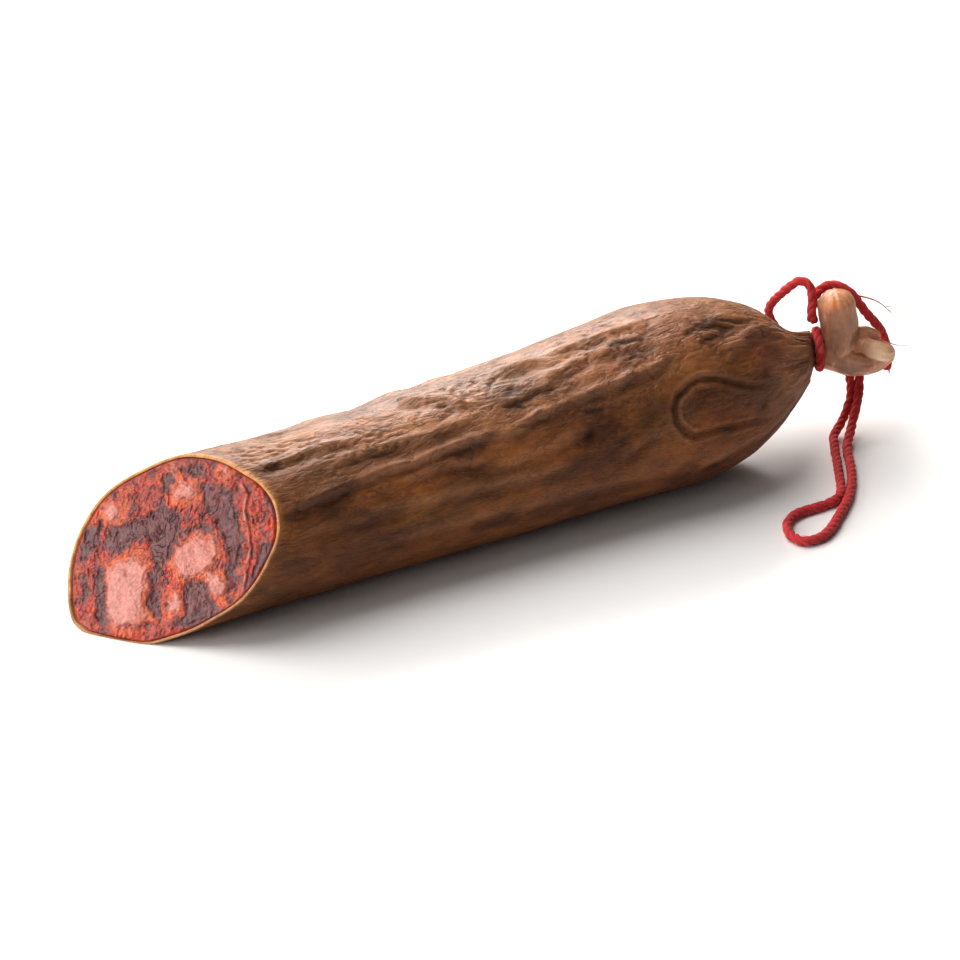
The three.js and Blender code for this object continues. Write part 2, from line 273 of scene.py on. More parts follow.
SKIN_ROWS = 372
SKIN_COLUMNS = 232
SKIN_INNER_ROWS = 20
FACE_ROWS = 128
FACE_COLUMNS = 600
MEAT_SIDE_ROWS = 16
GUT_WALL = 0.8 * MM
SEED = 41

# The camera's place, its turn and its angle down, and its lens in millimetres.
CAMERA_PLACE = (-0.3726, -0.5570, 0.3692)
CAMERA_TURN = math.radians(-32.8)
CAMERA_DOWN = math.radians(28.0)
CAMERA_LENS = 90.0
CAMERA_SENSOR = 36.0


# Plain maths.


def ease(value):
    """Goes from 0 to 1 as value does, flat at both ends."""
    part = np.clip(value, 0.0, 1.0)
    return part * part * (3.0 - 2.0 * part)


def bump(distance, width):
    """A bell of height 1 that falls off over width."""
    return np.exp(-((distance / width) ** 2))


def through(table, at):
    """Value of a smooth curve through rows of (place, value) that never overshoots them."""
    place, value = table.T
    gap = np.diff(place)
    slope = np.diff(value) / gap
    product = slope[:-1] * slope[1:]
    total = slope[:-1] + slope[1:]
    total = np.where(np.abs(total) < 1e-12, 1.0, total)
    tangent = np.concatenate([slope[:1], np.where(product > 0, 2 * product / total, 0.0), slope[-1:]])
    index = np.clip(np.searchsorted(place, at) - 1, 0, len(gap) - 1)
    part = np.clip((at - place[index]) / gap[index], 0.0, 1.0)
    first = value[index] * (1 + 2 * part) * (1 - part) ** 2
    second = value[index + 1] * part * part * (3 - 2 * part)
    leave = gap[index] * tangent[index] * part * (1 - part) ** 2
    arrive = gap[index] * tangent[index + 1] * part * part * (part - 1)
    return first + second + leave + arrive


def noise(points, size, seed):
    """Smooth random value from about -1 to 1: random slopes at the corners of a lattice, eased between."""
    random = np.random.default_rng(seed)
    order = random.permutation(256)
    slopes = random.normal(size=(256, 3))
    slopes /= np.linalg.norm(slopes, axis=1)[:, None]
    place = points / np.asarray(size, float)
    cell = np.floor(place).astype(np.int64)
    inside = place - cell
    eased = inside**3 * (inside * (inside * 6 - 15) + 10)
    total = np.zeros(place.shape[:-1])
    for corner in itertools.product((0, 1), repeat=3):
        at = (cell + corner) & 255
        pick = order[(order[(order[at[..., 0]] + at[..., 1]) & 255] + at[..., 2]) & 255]
        weight = np.where(corner, eased, 1 - eased).prod(-1)
        total += weight * (slopes[pick] * (inside - corner)).sum(-1)
    return total * 1.7


def rough(points, size, seed, octaves=4, gain=0.5):
    """Several layers of noise, each half the size of the one before."""
    size = np.asarray(size, float)
    layers = [gain**k * noise(points, size / 2**k, seed + k) for k in range(octaves)]
    return sum(layers) / sum(gain**k for k in range(octaves))


def grains(flat, size, seed):
    """Random grains on a plane: distance to the nearest grain's middle, to the next one's, and a
    random number for each grain."""
    random = np.random.default_rng(seed)
    shift = random.random((64, 64, 2))
    shade = random.random((64, 64))
    place = flat / size
    cell = np.floor(place).astype(np.int64)
    near = np.full(place.shape[:-1], 9.0)
    second = near.copy()
    tone = np.zeros_like(near)
    for step in itertools.product((-1, 0, 1), repeat=2):
        at = cell + step
        pick = (at[..., 0] & 63, at[..., 1] & 63)
        distance = np.linalg.norm(at + shift[pick] - place, axis=-1)
        closer = distance < near
        second = np.where(closer, near, np.minimum(second, distance))
        tone = np.where(closer, shade[pick], tone)
        near = np.where(closer, distance, near)
    return near, second, tone


def to_line(across, along, line):
    """Distance from points to a line through given corners, the side they lie on, and how far
    along it they are, 0 to 1."""
    corners = np.asarray(line, float)
    best = np.full(across.shape, 1e3)
    side = np.zeros(across.shape)
    part = np.zeros(across.shape)
    for k, (start, end) in enumerate(zip(corners[:-1], corners[1:])):
        way = end - start
        share = np.clip(((across - start[0]) * way[0] + (along - start[1]) * way[1]) / (way @ way), 0, 1)
        off_across = across - start[0] - share * way[0]
        off_along = along - start[1] - share * way[1]
        distance = np.hypot(off_across, off_along)
        closer = distance < best
        side = np.where(closer, np.sign(way[0] * off_along - way[1] * off_across), side)
        part = np.where(closer, (k + share) / (len(corners) - 1), part)
        best = np.where(closer, distance, best)
    return best, side, part


def in_patch(across, along, corners):
    """Signed distance to a closed outline, negative inside it."""
    corners = np.asarray(corners, float)
    distance = to_line(across, along, np.vstack([corners, corners[:1]]))[0]
    inside = np.zeros(across.shape, bool)
    for start, end in zip(corners, np.roll(corners, -1, axis=0)):
        if start[1] == end[1]:
            continue
        crosses = (start[1] > along) != (end[1] > along)
        at = start[0] + (along - start[1]) / (end[1] - start[1]) * (end[0] - start[0])
        inside ^= crosses & (across < at)
    return np.where(inside, -distance, distance)


def spline(points, step):
    """Smooth curve through points, evenly spaced: Catmull-Rom with the root of the gap as its time."""
    points = np.asarray(points, float)
    points = np.vstack([2 * points[0] - points[1], points, 2 * points[-1] - points[-2]])
    dense = []
    for a, b, c, d in zip(points[:-3], points[1:-2], points[2:-1], points[3:]):
        t1 = np.linalg.norm(b - a) ** 0.5
        t2 = t1 + np.linalg.norm(c - b) ** 0.5
        t3 = t2 + np.linalg.norm(d - c) ** 0.5
        t = np.linspace(t1, t2, 40, endpoint=False)[:, None]
        ab = (t1 - t) / t1 * a + t / t1 * b
        bc = (t2 - t) / (t2 - t1) * b + (t - t1) / (t2 - t1) * c
        cd = (t3 - t) / (t3 - t2) * c + (t - t2) / (t3 - t2) * d
        left = (t2 - t) / t2 * ab + t / t2 * bc
        right = (t3 - t) / (t3 - t1) * bc + (t - t1) / (t3 - t1) * cd
        dense.append((t2 - t) / (t2 - t1) * left + (t - t1) / (t2 - t1) * right)
    dense = np.vstack([np.concatenate(dense), points[-2:-1]])
    run = np.concatenate([[0], np.cumsum(np.linalg.norm(np.diff(dense, axis=0), axis=1))])
    at = np.linspace(0, run[-1], max(2, int(round(run[-1] / step)) + 1))
    return np.column_stack([np.interp(at, run, dense[:, k]) for k in range(dense.shape[1])]), at


def turning_frame(path, closed=False):
    """Two directions square to a path at each point that follow it without twisting."""
    ahead = np.gradient(path, axis=0)
    if closed:
        ahead = np.roll(path, -1, axis=0) - np.roll(path, 1, axis=0)
    ahead /= np.linalg.norm(ahead, axis=1)[:, None]
    first = np.cross(ahead[0], [0.3, 0.2, 1.0])
    first /= np.linalg.norm(first)
    sides = [first]
    for way in ahead[1:]:
        turned = sides[-1] - way * (sides[-1] @ way)
        sides.append(turned / np.linalg.norm(turned))
    sides = np.array(sides)
    return sides, np.cross(ahead, sides), ahead


# The sausage's shape.


def cut_end_swell(angle, s):
    """How much the section near the cut stands out of its oval, in metres: the gut sags to a soft
    corner at the lower left of the cut."""
    swell = SWELL_UNIT * through(RIM_SWELL, np.degrees(np.mod(angle + math.pi, 2 * math.pi) - math.pi))
    return swell * (1 - ease((s - 25 * MM) / (42 * MM)))


def body_point(s, angle, inset=0.0):
    """Point of the body: at distance s from the cut, an oval ring of the radius there, less inset."""
    s, angle = np.broadcast_arrays(s, angle)
    radius = through(BODY_STATIONS, s)
    blend = ease(s / OVAL_LENGTH)
    wide = CUT_OVAL[0] + (1 - CUT_OVAL[0]) * blend
    high = CUT_OVAL[1] + (1 - CUT_OVAL[1]) * blend
    middle = np.where(s < FATTEST, radius * high - FLAT_DEPTH, FATTEST_HEIGHT)
    side = NECK_SIDE * ease((s - BEND_START) / (NECK_LENGTH - BEND_START))
    reach = radius + cut_end_swell(angle, s) - inset
    return np.stack(
        [
            s + CUT_X,
            side - reach * wide * np.sin(angle),
            middle + reach * high * np.cos(angle),
        ],
        axis=-1,
    )


def rim_distance(angle, inset=0.0):
    """Distance s at which the body meets the cut plane, found by halving."""
    low = np.full(angle.shape, RIM_RANGE[0])
    high = np.full(angle.shape, RIM_RANGE[1])
    for _ in range(HALVINGS):
        middle = (low + high) / 2
        outside = (body_point(middle, angle, inset) - CUT_CENTRE) @ CUT_NORMAL > 0
        low = np.where(outside, middle, low)
        high = np.where(outside, high, middle)
    return (low + high) / 2


def on_floor(points):
    """Flattens what hangs below the floor, with a soft edge."""
    soft = 0.5 * MM
    lifted = points.copy()
    height = points[..., 2]
    lifted[..., 2] = 0.5 * (height + np.sqrt(height**2 + soft**2)) - 0.1 * soft * bump(height, 2 * MM)
    lifted[..., 2] = np.maximum(lifted[..., 2], 0.0)
    return lifted


def neck_groove(points, inset=0.0):
    """Draws points in to the tie's inner radius round its axis, from just before the tie onward."""
    middle = fold_points([NECK_TIE_MIDDLE])[0]
    axis = math.cos(NECK_TIE_LEAN) * FOLD_OUT - math.sin(NECK_TIE_LEAN) * FOLD_UP
    offset = points - middle
    ahead = offset @ axis
    spoke = offset - ahead[..., None] * axis
    reach = np.linalg.norm(spoke, axis=-1) + 1e-9
    limit = NECK_INNER - inset + GROOVE_RISE * ease((-ahead - GROOVE_FLAT) / GROOVE_LENGTH)
    limit = np.where(ahead < -GROOVE_LENGTH, FREE, limit)
    held = np.minimum(reach, limit)
    return middle + ahead[..., None] * axis + spoke * (held / reach)[..., None]


def laid_out(s, angle):
    """Where a skin point lies on the unsqueezed gut; patterns there run together at the neck."""
    s, angle = np.broadcast_arrays(s, angle)
    return np.stack([s, LAID_RADIUS * np.sin(angle), LAID_RADIUS * np.cos(angle)], axis=-1)


def turned_angle(angle):
    """The angle counted on from -ANGLE_START, so its jump is low on the hidden side."""
    return np.mod(angle + ANGLE_START, 2 * math.pi) - ANGLE_START


def skin_route(line):
    """A line on the skin in metres along it and round it."""
    rows = np.array(line, float)
    return np.column_stack([rows[:, 0] * MM, np.radians(rows[:, 1]) * LAID_RADIUS])


def skin_relief(s, angle):
    """Height of the skin above its plain round, and how deep in a fold and how high on a crest
    each point is, 0 to 1, which the gut's colour uses as painted shade and painted highlight.

    Long folds are a raised crest beside a valley along a line; wrinkles are thin valleys where
    stretched noise crosses nought; pleats are a cosine round the neck."""
    laid = laid_out(s, angle)
    around = turned_angle(angle)
    degrees = np.degrees(around)
    arc = around * LAID_RADIUS
    top = ease((62 - np.abs(degrees - 2)) / 40)
    top = np.maximum(top, 0.6 * ease((-20 - degrees) / 20) + 0.5 * ease((degrees - 165) / 30))
    height = 0.55 * MM * rough(laid, np.array([34, 15, 15]) * MM, SEED, 3)
    height += 0.34 * MM * top * rough(laid, np.array([14, 6, 6]) * MM, SEED + 10, 3)
    dip = np.zeros(s.shape)
    crest_highlight = np.zeros(s.shape)

    for line, tall, width in SKIN_RIDGES:
        distance, side, part = to_line(s, arc, skin_route(line))
        waver = 0.6 * MM * noise(laid, 6 * MM, SEED + 20)
        offset = distance * side + waver
        taper = ease(part / 0.12) * ease((1 - part) / 0.12)
        crest = bump(offset, width * MM)
        valley = bump(offset - 2.2 * width * MM, 1.1 * width * MM)
        uneven = 1 + 0.8 * noise(laid, 9 * MM, SEED + 21)
        height += 1.15 * tall * MM * taper * uneven * (crest - 0.75 * valley)
        dip += 0.35 * taper * uneven * valley
        crest_highlight += 0.6 * taper * bump(offset, 0.9 * width * MM)

    distance, _, part = to_line(s, arc, skin_route(STRING_MARK))
    taper = ease(part / 0.2) * ease((1 - part) / 0.2)
    groove = 1 - ease((distance - 0.55 * MM) / (0.9 * MM))
    lips = bump(distance - 1.9 * MM, 0.6 * MM)
    height += taper * (0.42 * lips - 0.7 * groove) * MM
    dip += 0.4 * groove * taper
    crest_highlight += 0.4 * lips * taper

    for at, turn, wide, deep in SKIN_PITS:
        distance = np.hypot(s - at * MM, arc - math.radians(turn) * LAID_RADIUS)
        hollow = bump(distance, wide * MM)
        height -= deep * MM * hollow
        dip += 0.8 * deep * hollow

    for line, deep in SKIN_CRACKS:
        distance, side, part = to_line(s, arc, skin_route(line))
        offset = distance * side + 0.5 * MM * noise(laid, 4 * MM, SEED + 24)
        taper = ease(part / 0.2) * ease((1 - part) / 0.2)
        slit = bump(offset, 0.75 * MM) * taper
        height += MM * deep * (0.7 * bump(offset + 2 * MM, 1.4 * MM) * taper - slit)
        dip += slit

    for size, deep, seed, where in (
        (np.array([10, 2.6, 2.6]) * MM, 0.42, SEED + 30, top),
        (np.array([5.5, 1.7, 1.7]) * MM, 0.24, SEED + 31, 0.25 + 0.75 * top),
        (np.array([14, 4.2, 4.2]) * MM, 0.34, SEED + 32, 0.6 + 0.4 * top),
    ):
        crossing = noise(laid + 1.5 * MM * noise(laid, 7 * MM, seed + 50)[..., None], size, seed)
        patchy = ease(0.35 + 1.4 * noise(laid, 19 * MM, seed + 60))
        slit = (1 - ease(np.abs(crossing) / 0.2)) * where * patchy
        height -= deep * MM * slit
        dip += 0.6 * slit * deep / 0.42

    knobs = bump(s - 188 * MM, 16 * MM) * bump(degrees - 22, 20.0)
    folds = 1 - np.abs(noise(laid, np.array([12, 4.6, 4.6]) * MM, SEED + 70)) * 2.2
    height += 0.4 * MM * knobs * folds
    dip += 0.25 * knobs * ease(-folds + 0.4)
    crest_highlight += 0.5 * knobs * ease(folds)

    lobe = bump(s - 204 * MM, 17 * MM) * ease((degrees - 30) / 8) * ease((74 - degrees) / 18)
    height += 0.7 * MM * lobe

    gather = ease((s - 196 * MM) / (40 * MM)) * (1 - 0.4 * ease((s - 236 * MM) / (6 * MM)))
    sway = 2.4 * noise(laid, np.array([30, 12, 12]) * MM, SEED + 80)
    pleats = np.cos(13 * around + sway) + 0.5 * np.cos(29 * around + 2 * sway)
    height += 0.3 * MM * gather * pleats
    dip += 0.22 * gather * ease(-pleats)
    for at, turn, long_, wide, tall in SKIN_SWELLS:
        height += tall * MM * bump(s - at * MM, long_ * MM) * bump(degrees - turn, wide)
    height -= 1.9 * MM * bump(s - 227 * MM, 8 * MM) * ease((60 - np.abs(degrees + 8)) / 50)
    return height, np.clip(dip, 0, 1), np.clip(crest_highlight, 0, 1)


# Meshes.


def closed_rings(rings):
    """Vertices and faces of rings joined by quads, each end drawn together at its middle point."""
    rows, columns = rings.shape[:2]
    points = np.vstack([rings.reshape(-1, 3), rings[0].mean(0), rings[-1].mean(0)])
    here = np.arange(columns)
    after = (here + 1) % columns
    base = (np.arange(rows - 1) * columns)[:, None]
    quads = np.stack([base + here, base + after, base + columns + after, base + columns + here], -1)
    first, last = rows * columns, rows * columns + 1
    end = (rows - 1) * columns
    fans = [np.column_stack([after, here, np.full(columns, first)])]
    fans.append(np.column_stack([end + here, end + after, np.full(columns, last)]))
    return points, quads.reshape(-1, 4), np.vstack(fans)


def with_ends(values):
    """A per-vertex value for closed_rings, the two end points taking their ring's mean."""
    flat = values.reshape(values.shape[0] * values.shape[1], -1)
    ends = [values[0].reshape(values.shape[1], -1).mean(0), values[-1].reshape(values.shape[1], -1).mean(0)]
    return np.vstack([flat, ends]).squeeze()


def volume(points, faces):
    """Signed volume inside faces, positive when they face outward."""
    a, b, c = points[faces[:, 0]], points[faces[:, 1]], points[faces[:, 2]]
    total = (a * np.cross(b, c)).sum()
    if faces.shape[1] == 4:
        total += (a * np.cross(c, points[faces[:, 3]])).sum()
    return total / 6


def make_object(name, points, quads, triangles, values=None):
    """Mesh object at the origin with smooth shading, faces outward and its named values."""
    if volume(points, quads) + volume(points, triangles) < 0:
        quads, triangles = quads[:, ::-1], triangles[:, ::-1]
    mesh = bpy.data.meshes.new(name)
    mesh.from_pydata(points.tolist(), [], quads.tolist() + triangles.tolist())
    mesh.shade_smooth()
    for key, value in (values or {}).items():
        kind, field = ("FLOAT", "value") if value.ndim == 1 else ("FLOAT_VECTOR", "vector")
        mesh.attributes.new(key, kind, "POINT").data.foreach_set(field, value.ravel().astype(np.float32))
    piece = bpy.data.objects.new(name, mesh)
    bpy.context.scene.collection.objects.link(piece)
    return piece


def outward(points):
    """Unit normals of a grid of points closed round its columns, facing out of the tube."""
    down = np.gradient(points, axis=0)
    round_ = np.roll(points, -1, axis=1) - np.roll(points, 1, axis=1)
    normal = np.cross(down, round_)
    normal /= np.linalg.norm(normal, axis=-1)[..., None] + 1e-12
    middle = points.mean(axis=1, keepdims=True)
    facing = ((points - middle) * normal).sum(-1, keepdims=True)
    return normal * np.sign(facing.mean())


def skin_columns(count):
    """Angles round the body, closer together on the side that shows most."""
    even = np.linspace(-math.pi, math.pi, count, endpoint=False)
    return math.radians(55) + even - 0.3 * np.sin(even)


# Materials.


class Value:
    """A node output that adds, subtracts and multiplies like a number."""

    def __init__(self, graph, socket):
        self.graph = graph
        self.socket = socket

    def maths(self, operation, *others, clamp=False):
        """One Math node on this value and the others."""
        inputs = dict(enumerate([self, *others]))
        return self.graph.node("ShaderNodeMath", {"operation": operation, "use_clamp": clamp}, inputs)

    def __add__(self, other):
        return self.maths("ADD", other)

    def __sub__(self, other):
        return self.maths("SUBTRACT", other)

    def __mul__(self, other):
        return self.maths("MULTIPLY", other)

    def __rsub__(self, other):
        return self.graph.node("ShaderNodeMath", {"operation": "SUBTRACT"}, {0: other, 1: self})

    __radd__ = __add__
    __rmul__ = __mul__

    def clamped(self):
        """Held between 0 and 1."""
        return self.maths("ADD", 0.0, clamp=True)

    def size(self):
        """Without its sign."""
        return self.maths("ABSOLUTE")

    def ramp(self, low, high):
        """0 below low and 1 above high, eased between; high may be below low."""
        flip = high < low
        settings = {"interpolation_type": "SMOOTHSTEP"}
        inputs = {0: self, 1: min(low, high), 2: max(low, high)}
        eased = self.graph.node("ShaderNodeMapRange", settings, inputs)
        return 1.0 - eased if flip else eased


class Graph:
    """One material's nodes."""

    def __init__(self, name):
        self.material = bpy.data.materials.new(name)
        self.material.use_nodes = True
        self.tree = self.material.node_tree
        self.tree.nodes.clear()

    def node(self, kind, settings=None, inputs=None, output=0):
        """Adds a node: its settings first, then its inputs, which are numbers or Values."""
        made = self.tree.nodes.new(kind)
        for key, value in (settings or {}).items():
            setattr(made, key, value)
        for key, value in (inputs or {}).items():
            if isinstance(value, Value):
                self.tree.links.new(value.socket, made.inputs[key])
            else:
                made.inputs[key].default_value = value
        return Value(self, made.outputs[output]) if len(made.outputs) else None

    def attribute(self, name, output="Fac"):
        """A named value that the mesh carries."""
        return self.node("ShaderNodeAttribute", {"attribute_name": name}, None, output)

    def place(self):
        """The point in the object's own coordinates, in metres."""
        return self.node("ShaderNodeTexCoord", None, None, "Object")

    def stretched(self, vector, factors):
        """A vector with each part multiplied."""
        return self.node("ShaderNodeVectorMath", {"operation": "MULTIPLY"}, {0: vector, 1: factors})

    def moved(self, vector, offset):
        """A vector plus another."""
        return self.node("ShaderNodeVectorMath", {"operation": "ADD"}, {0: vector, 1: offset})

    def cloud(self, vector, per_metre, detail=3.0, roughness=0.55, distortion=0.0):
        """Noise about -1 to 1 with so many lumps to the metre."""
        inputs = {
            "Vector": vector,
            "Scale": per_metre,
            "Detail": detail,
            "Roughness": roughness,
            "Distortion": distortion,
        }
        return (self.node("ShaderNodeTexNoise", None, inputs) - 0.5) * 3.0

    def mix(self, factor, first, second, blend="MIX"):
        """Mixes two colours."""
        settings = {"data_type": "RGBA", "blend_type": blend}
        return self.node("ShaderNodeMix", settings, {0: factor, 6: first, 7: second}, 2)

    def near(self, place, point, reach):
        """1 at a point, easing to 0 at reach from it."""
        settings = {"operation": "DISTANCE"}
        away = self.node("ShaderNodeVectorMath", settings, {0: place, 1: tuple(point)}, "Value")
        return away.ramp(reach, 0.0)

    def dimmed(self, colour, tone):
        """A colour multiplied by a number."""
        grey = self.node("ShaderNodeCombineColor", None, {0: tone, 1: tone, 2: tone})
        return self.mix(1.0, colour, grey, "MULTIPLY")

    def surface(self, colour, roughness, height, constants):
        """Principled shader: colour, roughness, bump height in metres, and its other sockets by name."""
        normal = self.node("ShaderNodeBump", None, {"Strength": 1.0, "Distance": 1.0, "Height": height})
        inputs = {"Base Color": colour, "Roughness": roughness, "Normal": normal, **constants}
        shader = self.node("ShaderNodeBsdfPrincipled", None, inputs)
        self.node("ShaderNodeOutputMaterial", None, {"Surface": shader})
        return self.material


def shade(colour, factor=1.0):
    """A colour with its last part, brightened or darkened."""
    return (colour[0] * factor, colour[1] * factor, colour[2] * factor, 1.0)


def gut_material(name, looks):
    """Dried gut: brown with ochre and reddish areas, streaks along it, a pale edge at the cut and a
    satin shine, with painted shade in folds and on the underside and a painted highlight on the top."""
    graph = Graph(name)
    laid = graph.attribute("laid", "Vector")
    names = ("dip", "edge", "upper", "ruddy", "crest", "neck", "smudge", "under")
    dip, edge, upper, ruddy, crest, neck, smudge, under = map(graph.attribute, names)
    long_ = graph.stretched(laid, (0.3, 1.0, 1.0))
    streaks = graph.cloud(long_, 460.0, 6.0, 0.7, 0.8)
    broad = graph.cloud(graph.stretched(laid, (0.35, 1.0, 1.0)), 90.0, 5.0, 0.65)
    fine = graph.cloud(graph.stretched(laid, (0.55, 1.0, 1.0)), 1300.0, 4.0, 0.7)
    ochre = graph.cloud(graph.moved(laid, (0.3, 0.1, 0.2)), 60.0, 5.0, 0.65)
    red = graph.cloud(graph.moved(laid, (0.7, 0.4, 0.1)), 75.0, 5.0, 0.65)
    grey = graph.cloud(graph.moved(laid, (0.1, 0.8, 0.5)), 110.0, 4.0, 0.65)
    fleck = graph.cloud(graph.moved(laid, (0.6, 0.3, 0.9)), 420.0, 3.0, 0.6)

    colour = graph.mix(broad.ramp(-0.6, 0.4), shade(looks.gut_dark_and_shade), shade(looks.gut_brown))
    colour = graph.mix(ochre.ramp(-0.2, 0.8) * (1.0 - upper * 0.6) * 0.75, colour, shade(looks.gut_ochre))
    colour = graph.mix((red.ramp(0.0, 0.9) * 0.4 + ruddy).clamped() * 0.8, colour, shade(looks.gut_red))
    # Grey bloom patches, kept to the top by the painted top-light mask: partly bloom, partly painted
    # highlight.
    colour = graph.mix(grey.ramp(0.1, 1.0) * upper * 0.5, colour, shade(looks.gut_bloom_and_sheen))
    # Painted highlight: the top is mixed towards pale tan, and so are the crests of folds on the next line.
    colour = graph.mix(upper * 0.55, colour, shade(looks.gut_tan_and_highlight))
    colour = graph.mix((crest * 0.55).clamped(), colour, shade(looks.gut_tan_and_highlight))
    colour = graph.mix(neck * fleck.ramp(-0.3, 0.8) * 0.7, colour, shade(looks.gut_bloom_and_sheen))
    colour = graph.mix((smudge * 0.9).clamped(), colour, shade(looks.gut_dark_and_shade, 0.55))
    # Painted shade: the underside, and more weakly the back, mixed towards dark brown.
    colour = graph.mix(under * 0.5, colour, shade(looks.gut_dark_and_shade))
    shifted = graph.moved(laid, (0.5, 0.9, 0.3))
    tones = graph.cloud(graph.stretched(shifted, (0.55, 1.0, 1.0)), 75.0, 3.0, 0.5)
    colour = graph.mix(tones.ramp(0.05, 0.6) * 0.7, colour, shade(looks.gut_dark_and_shade, 0.8))
    colour = graph.mix(tones.ramp(-0.2, -0.9) * 0.3, colour, shade(looks.gut_tan_and_highlight, 0.8))
    colour = graph.dimmed(colour, streaks * 0.26 + fine * 0.2 + broad * 0.16 + 0.96)
    creases = graph.cloud(graph.stretched(laid, (0.36, 1.0, 1.0)), 260.0, 5.0, 0.58, 0.35).size()
    creased = grey.ramp(-0.6, 0.4) * (upper * 0.4 + 0.6)
    # Painted shade along the crease lines, and on the next line at the bottom of folds, grooves, pits and
    # slits.
    painted_crease_shade = (creases.ramp(0.12, 0.0) * creased * 0.6).clamped()
    colour = graph.mix(painted_crease_shade, colour, shade(looks.gut_fold_shade))
    colour = graph.mix((dip * 0.8).clamped(), colour, shade(looks.gut_fold_shade))
    colour = graph.mix((edge * (0.75 + fleck * 0.3)).clamped(), colour, shade(looks.gut_edge))

    nap = graph.cloud(laid, 2600.0, 3.0, 0.6)
    height = creases.ramp(0.0, 0.3) * (creased * 0.8 + 0.2) * (0.30 * MM)
    height = height + streaks * (0.09 * MM) + fine * (0.06 * MM) + nap * (0.01 * MM)
    rough_ = (0.5 - upper * 0.1 + broad * 0.06 + streaks * 0.06 + dip * 0.25).clamped()
    constants = {
        "Subsurface Weight": 0.05,
        "Subsurface Radius": (1.0, 0.4, 0.2),
        "Subsurface Scale": 1.2 * MM,
        "Specular IOR Level": 0.24,
        "Coat Weight": upper * 0.3,
        "Coat Roughness": 0.3,
    }
    return graph.surface(colour, rough_, height, constants)


def meat_material(name, looks):
    """Cut meat: granular paprika red with pink fat, purple-grey lean, orange round the fat, and gaps
    darkened as painted shade.
    """
    graph = Graph(name)
    place = graph.place()
    names = ("fat", "lean", "sinew", "gap", "grain", "halo", "rim", "strand")
    fat, lean, sinew, gap, grain, halo, rim, strand = map(graph.attribute, names)
    speck = graph.cloud(place, 1100.0, 4.0, 0.7)
    mottle = graph.cloud(graph.moved(place, (0.4, 0.2, 0.1)), 330.0, 4.0, 0.65)
    blots = graph.cloud(graph.moved(place, (0.9, 0.5, 0.3)), 130.0, 3.0, 0.6)
    fibre = graph.cloud(graph.stretched(place, (1.0, 1.0, 0.3)), 900.0, 4.0, 0.65)

    redness = (grain * 0.9 + mottle * 0.8 + 0.1).clamped()
    colour = graph.mix(redness, shade(looks.meat_deep), shade(looks.meat_red))
    stained = (blots.ramp(0.0, 0.8) * (grain * 0.8 + 0.2)).clamped()
    colour = graph.mix(stained, colour, shade(looks.meat_orange))
    colour = graph.mix((halo * (0.75 + mottle * 0.4)).clamped(), colour, shade(looks.meat_orange))
    paleness = (strand * 0.7 + 0.2 + fibre * 0.1).clamped()
    pink = graph.mix(paleness, shade(looks.fat_rose), shade(looks.fat_pale))
    pink = graph.mix((speck * 0.5 + mottle * 0.3 - 0.3).clamped(), pink, shade(looks.meat_orange))
    colour = graph.mix((fat * (0.94 + speck * 0.12)).clamped(), colour, pink)
    greyness = (strand * 1.1 - 0.1 + speck * 0.35).clamped()
    purple = graph.mix(greyness, shade(looks.lean_dark), shade(looks.lean_grey))
    purple = graph.mix((mottle * 0.6 - 0.02).clamped(), purple, shade(looks.meat_deep))
    purple = graph.mix(blots.ramp(0.2, 0.9) * 0.45, purple, shade(looks.meat_red, 0.6))
    colour = graph.mix((lean * (0.92 + speck * 0.2)).clamped(), colour, purple)
    colour = graph.mix(sinew * 0.8, colour, shade(looks.fat_pale, 0.9))
    tone = speck * 0.42 + mottle * 0.3 + 1.0
    colour = graph.dimmed(colour, tone)
    # Painted shade in the gaps and tears between pieces of meat.
    colour = graph.mix((gap * 0.75).clamped(), colour, shade(looks.meat_gap_shade))
    colour = graph.mix(rim * 0.6, colour, shade(looks.meat_deep))

    height = (speck * (0.06 * MM) + mottle * (0.06 * MM)) * (1.0 - fat * 0.65 - lean * 0.35)
    rough_ = (0.38 + lean * 0.1 - fat * 0.06 + speck * 0.06).clamped()
    constants = {
        "Subsurface Weight": 0.12,
        "Subsurface Radius": (1.0, 0.35, 0.2),
        "Subsurface Scale": 1.5 * MM,
        "Specular IOR Level": 0.32,
        "Coat Weight": 0.2,
        "Coat Roughness": 0.2,
    }
    return graph.surface(colour, rough_, height, constants)


